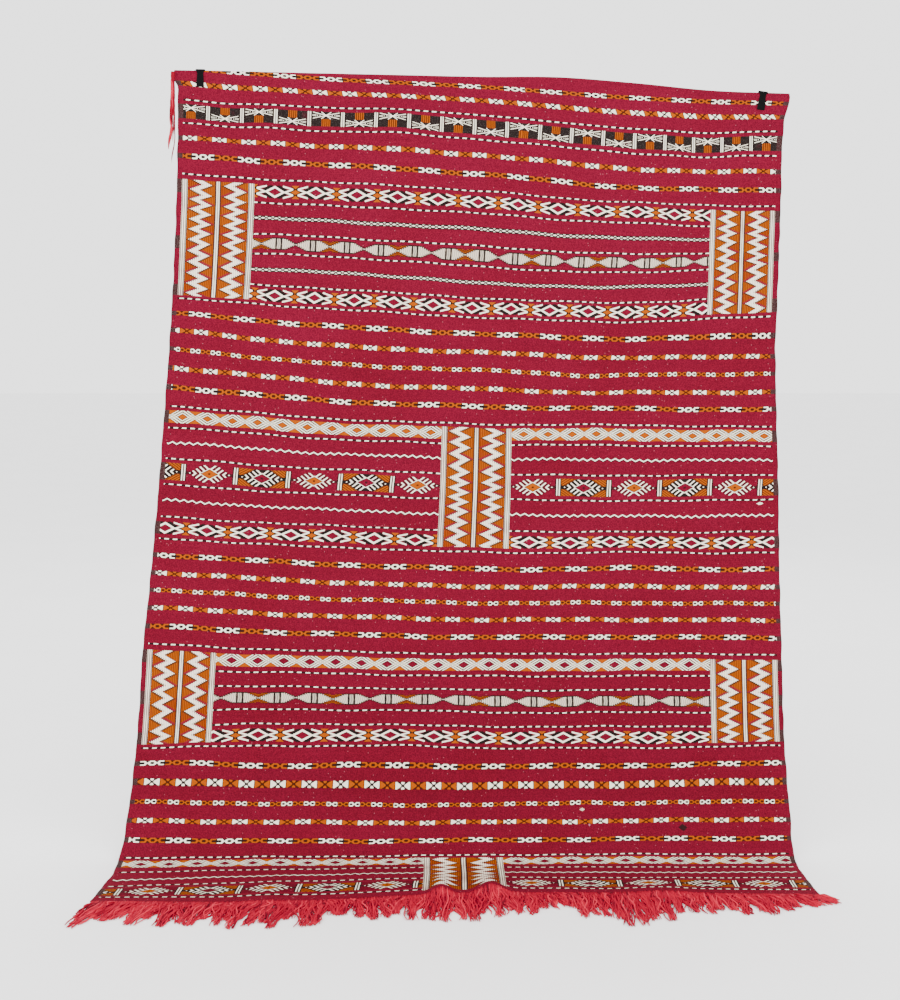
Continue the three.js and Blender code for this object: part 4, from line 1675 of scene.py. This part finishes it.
@dataclass
class Clip:
    """A black steel clip over the folded edge.

    Args:
        name: its name.
        across: its place across the rug.
        length: length of its front plate.
        roll: how far it leans, in degrees.
        plate: thickness of its plates.
        shoulder: width at the top.
        shoulder_height: height of the part so wide.
        slope: width and height of the step below it.
        neck: width of the waist.
        waist_depth: how far the waist lies below the top.
        foot: width of the foot.
        foot_height: height of the foot.
        lip: height of the foot's lip, and how much narrower it is.
        dent: width of the rim round the pressed field, and the field's depth.
        pivot: radius of the pivot's knobs, their flatness and how far below the top they sit.
        round_off: radius of the edges.
        gap: room between the cloth and a plate.
        bridge_gap: room between the cloth and the bridge.
        back_shorter: how much shorter the back plate is.
    """

    name: str
    across: float
    length: float
    roll: float
    plate: float = 1.2
    shoulder: float = 22.0
    shoulder_height: float = 4.0
    slope: tuple[float, float] = (17.0, 2.2)
    neck: float = 14.5
    waist_depth: float = 10.0
    foot: float = 18.5
    foot_height: float = 8.0
    lip: tuple[float, float] = (1.6, 1.5)
    dent: tuple[float, float] = (2.2, 0.45)
    pivot: tuple[float, float, float] = (1.9, 0.42, 5.5)
    round_off: float = 0.3
    gap: float = 0.4
    bridge_gap: float = 1.4
    back_shorter: float = 6.0

    @property
    def inner(self) -> float:
        """How far the plates' inner faces stand from the middle."""
        return HANG.fold_radius + HANG.thickness / 2 + self.gap

    @property
    def top(self) -> float:
        """Height of the clip's top over the fold's middle."""
        return HANG.fold_radius + HANG.thickness / 2 + self.bridge_gap + self.plate

    def block(self, middle: tuple, size: tuple) -> Piece:
        """Adds a block and goes into edit mode.

        Args:
            middle: its middle, in millimetres.
            size: its three sizes, in millimetres.

        Returns:
            The block, in edit mode with everything selected.
        """
        bpy.ops.object.select_all(action="DESELECT")
        place = tuple(value * MM for value in middle)
        sides = tuple(value * MM for value in size)
        bpy.ops.mesh.primitive_cube_add(size=1.0, location=place, scale=sides)
        piece = bpy.context.object
        bpy.ops.object.transform_apply(location=True, rotation=True, scale=True)
        bpy.ops.object.mode_set(mode="EDIT")
        bpy.ops.mesh.select_all(action="SELECT")
        return piece

    def pick(self, piece: Piece, low: float, high: float) -> None:
        """Selects the points between two heights, in edit mode.

        Args:
            piece: the piece.
            low: the lower height in millimetres.
            high: the upper height in millimetres.
        """
        bpy.ops.mesh.select_all(action="DESELECT")
        bpy.ops.object.mode_set(mode="OBJECT")
        for vertex in piece.data.vertices:
            vertex.select = low * MM <= vertex.co.z <= high * MM
        bpy.ops.object.mode_set(mode="EDIT")

    def pressed_plate(self, length: float, outer: float, side: int) -> Piece:
        """Makes a plate with a wide shoulder, a waist and a flared foot whose lip is a little narrower.

        Args:
            length: its length.
            outer: place of its inner face from the middle.
            side: -1 in front, 1 behind.

        Returns:
            The plate.
        """
        middle_y = side * (outer + self.plate / 2)
        middle = (0.0, middle_y, self.top - length / 2)
        piece = self.block(middle, (self.shoulder, self.plate, length))
        bottom = self.top - length
        waist = self.top - self.waist_depth
        below = self.top - self.shoulder_height
        widths = (
            (below, self.shoulder), (below - self.slope[1], self.slope[0]), (waist, self.neck),
            (bottom + self.foot_height, self.foot), (bottom + self.lip[0], self.foot),
        )
        for height, _ in widths:
            bpy.ops.mesh.select_all(action="SELECT")
            bpy.ops.mesh.bisect(plane_co=(0, 0, height * MM), plane_no=(0, 0, 1))
        for height, width in widths + ((bottom, self.foot - self.lip[1]),):
            self.pick(piece, height - 0.05, height + 0.05)
            share = width / self.shoulder
            bpy.ops.transform.resize(value=(share, 1, 1), center_override=(0, middle_y * MM, height * MM))
        bpy.ops.mesh.select_all(action="DESELECT")
        bpy.ops.object.mode_set(mode="OBJECT")
        for face in piece.data.polygons:
            tall = bottom + self.foot_height < face.center.z / MM < waist
            face.select = tall and face.normal.y * side > 0.9
        bpy.ops.object.mode_set(mode="EDIT")
        bpy.ops.mesh.select_mode(type="FACE")
        rim, depth = self.dent
        bpy.ops.mesh.inset(thickness=rim * MM, depth=-depth * MM)
        bpy.ops.mesh.select_mode(type="VERT")
        bpy.ops.object.mode_set(mode="OBJECT")
        return piece

    def build(self) -> Piece:
        """Builds the clip.

        Returns:
            The piece, with its finish.
        """
        parts = [self.pressed_plate(self.length, self.inner, -1)]
        parts.append(self.pressed_plate(self.length - self.back_shorter, self.inner, 1))
        bridge = self.block((0, 0, self.top - self.plate / 2), (self.shoulder, 2 * self.inner, self.plate))
        for side in (-1, 1):
            bpy.ops.mesh.select_all(action="SELECT")
            bpy.ops.mesh.bisect(plane_co=(side * self.neck / 2 * MM, 0, 0), plane_no=(1, 0, 0))
        bpy.ops.object.mode_set(mode="OBJECT")
        parts.append(bridge)
        bpy.ops.object.select_all(action="DESELECT")
        radius, flat, below = self.pivot
        for side in (-1, 1):
            bpy.ops.mesh.primitive_uv_sphere_add(
                segments=20, ring_count=10, radius=radius * MM, scale=(1.0, flat, 1.0),
                location=(0, side * (self.inner + self.plate) * MM, (self.top - below) * MM))
            bpy.ops.object.transform_apply(location=True, rotation=True, scale=True)
            parts.append(bpy.context.object)
            bpy.ops.object.select_all(action="DESELECT")
        for part in parts:
            part.select_set(True)
        bpy.context.view_layer.objects.active = parts[0]
        bpy.ops.object.join()
        piece = bpy.context.object
        piece.name = piece.data.name = self.name
        bevel = piece.modifiers.new("edges", "BEVEL")
        for key, value in (("width", self.round_off * MM), ("segments", 2), ("limit_method", "ANGLE")):
            setattr(bevel, key, value)
        bpy.ops.object.modifier_apply(modifier=bevel.name)
        self.place(piece)
        bpy.ops.object.shade_smooth_by_angle(angle=math.radians(35))
        piece.data.materials.clear()
        piece.data.materials.append(BlackMetal().make())
        piece.select_set(False)
        return piece

    def place(self, piece: Piece) -> None:
        """Puts the clip over the fold, with its place in its mesh.

        Args:
            piece: the clip.
        """
        at = np.array([self.across])
        down = through(np.array(HANG.fold_run, dtype=float), at) + HANG.fold_radius
        centre = HANG.on_face(at, down, -HANG.fold_radius)[0]
        _, _, face_y, face_z = HANG.profile(down)
        tilt = Matrix.Rotation(-math.atan2(face_z[0], -face_y[0]), 4, "X")
        lean = Matrix.Rotation(math.radians(self.roll), 4, "Y")
        piece.data.transform(Matrix.Translation(Vector(centre) * MM) @ tilt @ lean)


CLIPS = (Clip("left_clip", 0.042, 42.0, 1.0), Clip("right_clip", 0.957, 45.0, 8.0))


@dataclass
class Stage:
    """Floor, lights and camera.

    Args:
        eye: the camera's place.
        pitch: how far it looks down, in degrees.
        lens: its focal length on a 36 mm frame.
        room: strength of the room's even light.
    """

    eye: tuple[float, float, float] = (-68.0, -3739.0, -561.0)
    pitch: float = 7.21
    lens: float = 54.0
    room: float = 2.5
    # name, place in metres, side in metres, power in watts
    lights: tuple[tuple, ...] = (
        ("front_light", (-0.3, -4.6, 0.6), 3.2, 125.0), ("left_light", (-3.2, -2.6, 0.9), 2.0, 60.0),
        ("right_light", (3.0, -2.2, 1.2), 2.0, 50.0), ("back_light", (0.5, 3.0, 1.6), 3.0, 79.0),
    )

    def build(self) -> None:
        """Builds the floor, the lights and the camera."""
        bpy.ops.mesh.primitive_plane_add(size=40.0, location=(0.0, 0.0, HANG.floor * MM))
        floor = bpy.context.object
        floor.name = "pale_floor"
        board = Board("pale_floor")
        place = board.node("ShaderNodeTexCoord", {}).outputs["Object"]
        cloud = board.noise(place, 3.0, 2.0)
        pale = board.mix(cloud, (0.93, 0.93, 0.93, 1.0), (0.88, 0.88, 0.885, 1.0))
        board.put(board.surface.inputs["Base Color"], pale)
        board.surface.inputs["Roughness"].default_value = 0.9
        floor.data.materials.append(board.material)
        for row in self.lights:
            self.light(*row)
        world = bpy.data.worlds.new("pale_room")
        bpy.context.scene.world = world
        world.use_nodes = True
        colour, strength = world.node_tree.nodes["Background"].inputs[:2]
        colour.default_value = (1.0, 1.0, 1.0, 1.0)
        strength.default_value = self.room
        data = bpy.data.cameras.new("camera")
        data.lens = self.lens
        data.sensor_width = 36.0
        camera = bpy.data.objects.new("camera", data)
        camera.location = Vector(self.eye) * MM
        camera.rotation_euler = (math.radians(90 - self.pitch), 0.0, 0.0)
        bpy.context.scene.collection.objects.link(camera)
        bpy.context.scene.camera = camera

    def light(self, name: str, place: tuple[float, float, float], size: float, power: float) -> None:
        """Adds a soft square light that looks at the rug's middle.

        Args:
            name: its name.
            place: where it stands, in metres.
            size: its side, in metres.
            power: its power in watts.
        """
        data = bpy.data.lights.new(name, "AREA")
        data.size = size
        data.energy = power
        lamp = bpy.data.objects.new(name, data)
        lamp.location = place
        middle = Vector((0.0, -0.1, -1.0))
        lamp.rotation_euler = (middle - Vector(place)).to_track_quat("-Z", "Y").to_euler()
        bpy.context.scene.collection.objects.link(lamp)


def main() -> None:
    """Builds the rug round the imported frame."""
    logging.basicConfig(level=logging.INFO, format="%(name)s: %(message)s")
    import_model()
    for item in bpy.context.selected_objects:
        item.select_set(False)
    Stage().build()
    cloth = RugCloth().build()
    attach(cloth, "root")
    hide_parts("rug_cloth")
    log.info("cloth: %d faces", len(cloth.data.polygons))
    fringe = Fringe().build()
    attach(fringe, "root")
    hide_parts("fringe")
    log.info("fringe: %d faces", len(fringe.data.polygons))
    tail = CornerTail().build()
    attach(tail, "root")
    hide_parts("corner_tail")
    log.info("corner tail: %d faces", len(tail.data.polygons))
    for plan, node in zip(CLIPS, ("clip_left", "clip_right")):
        clip = plan.build()
        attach(clip, "root")
        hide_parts(node)
        log.info("%s: %d faces", clip.name, len(clip.data.polygons))


if __name__ == "__main__":
    main()
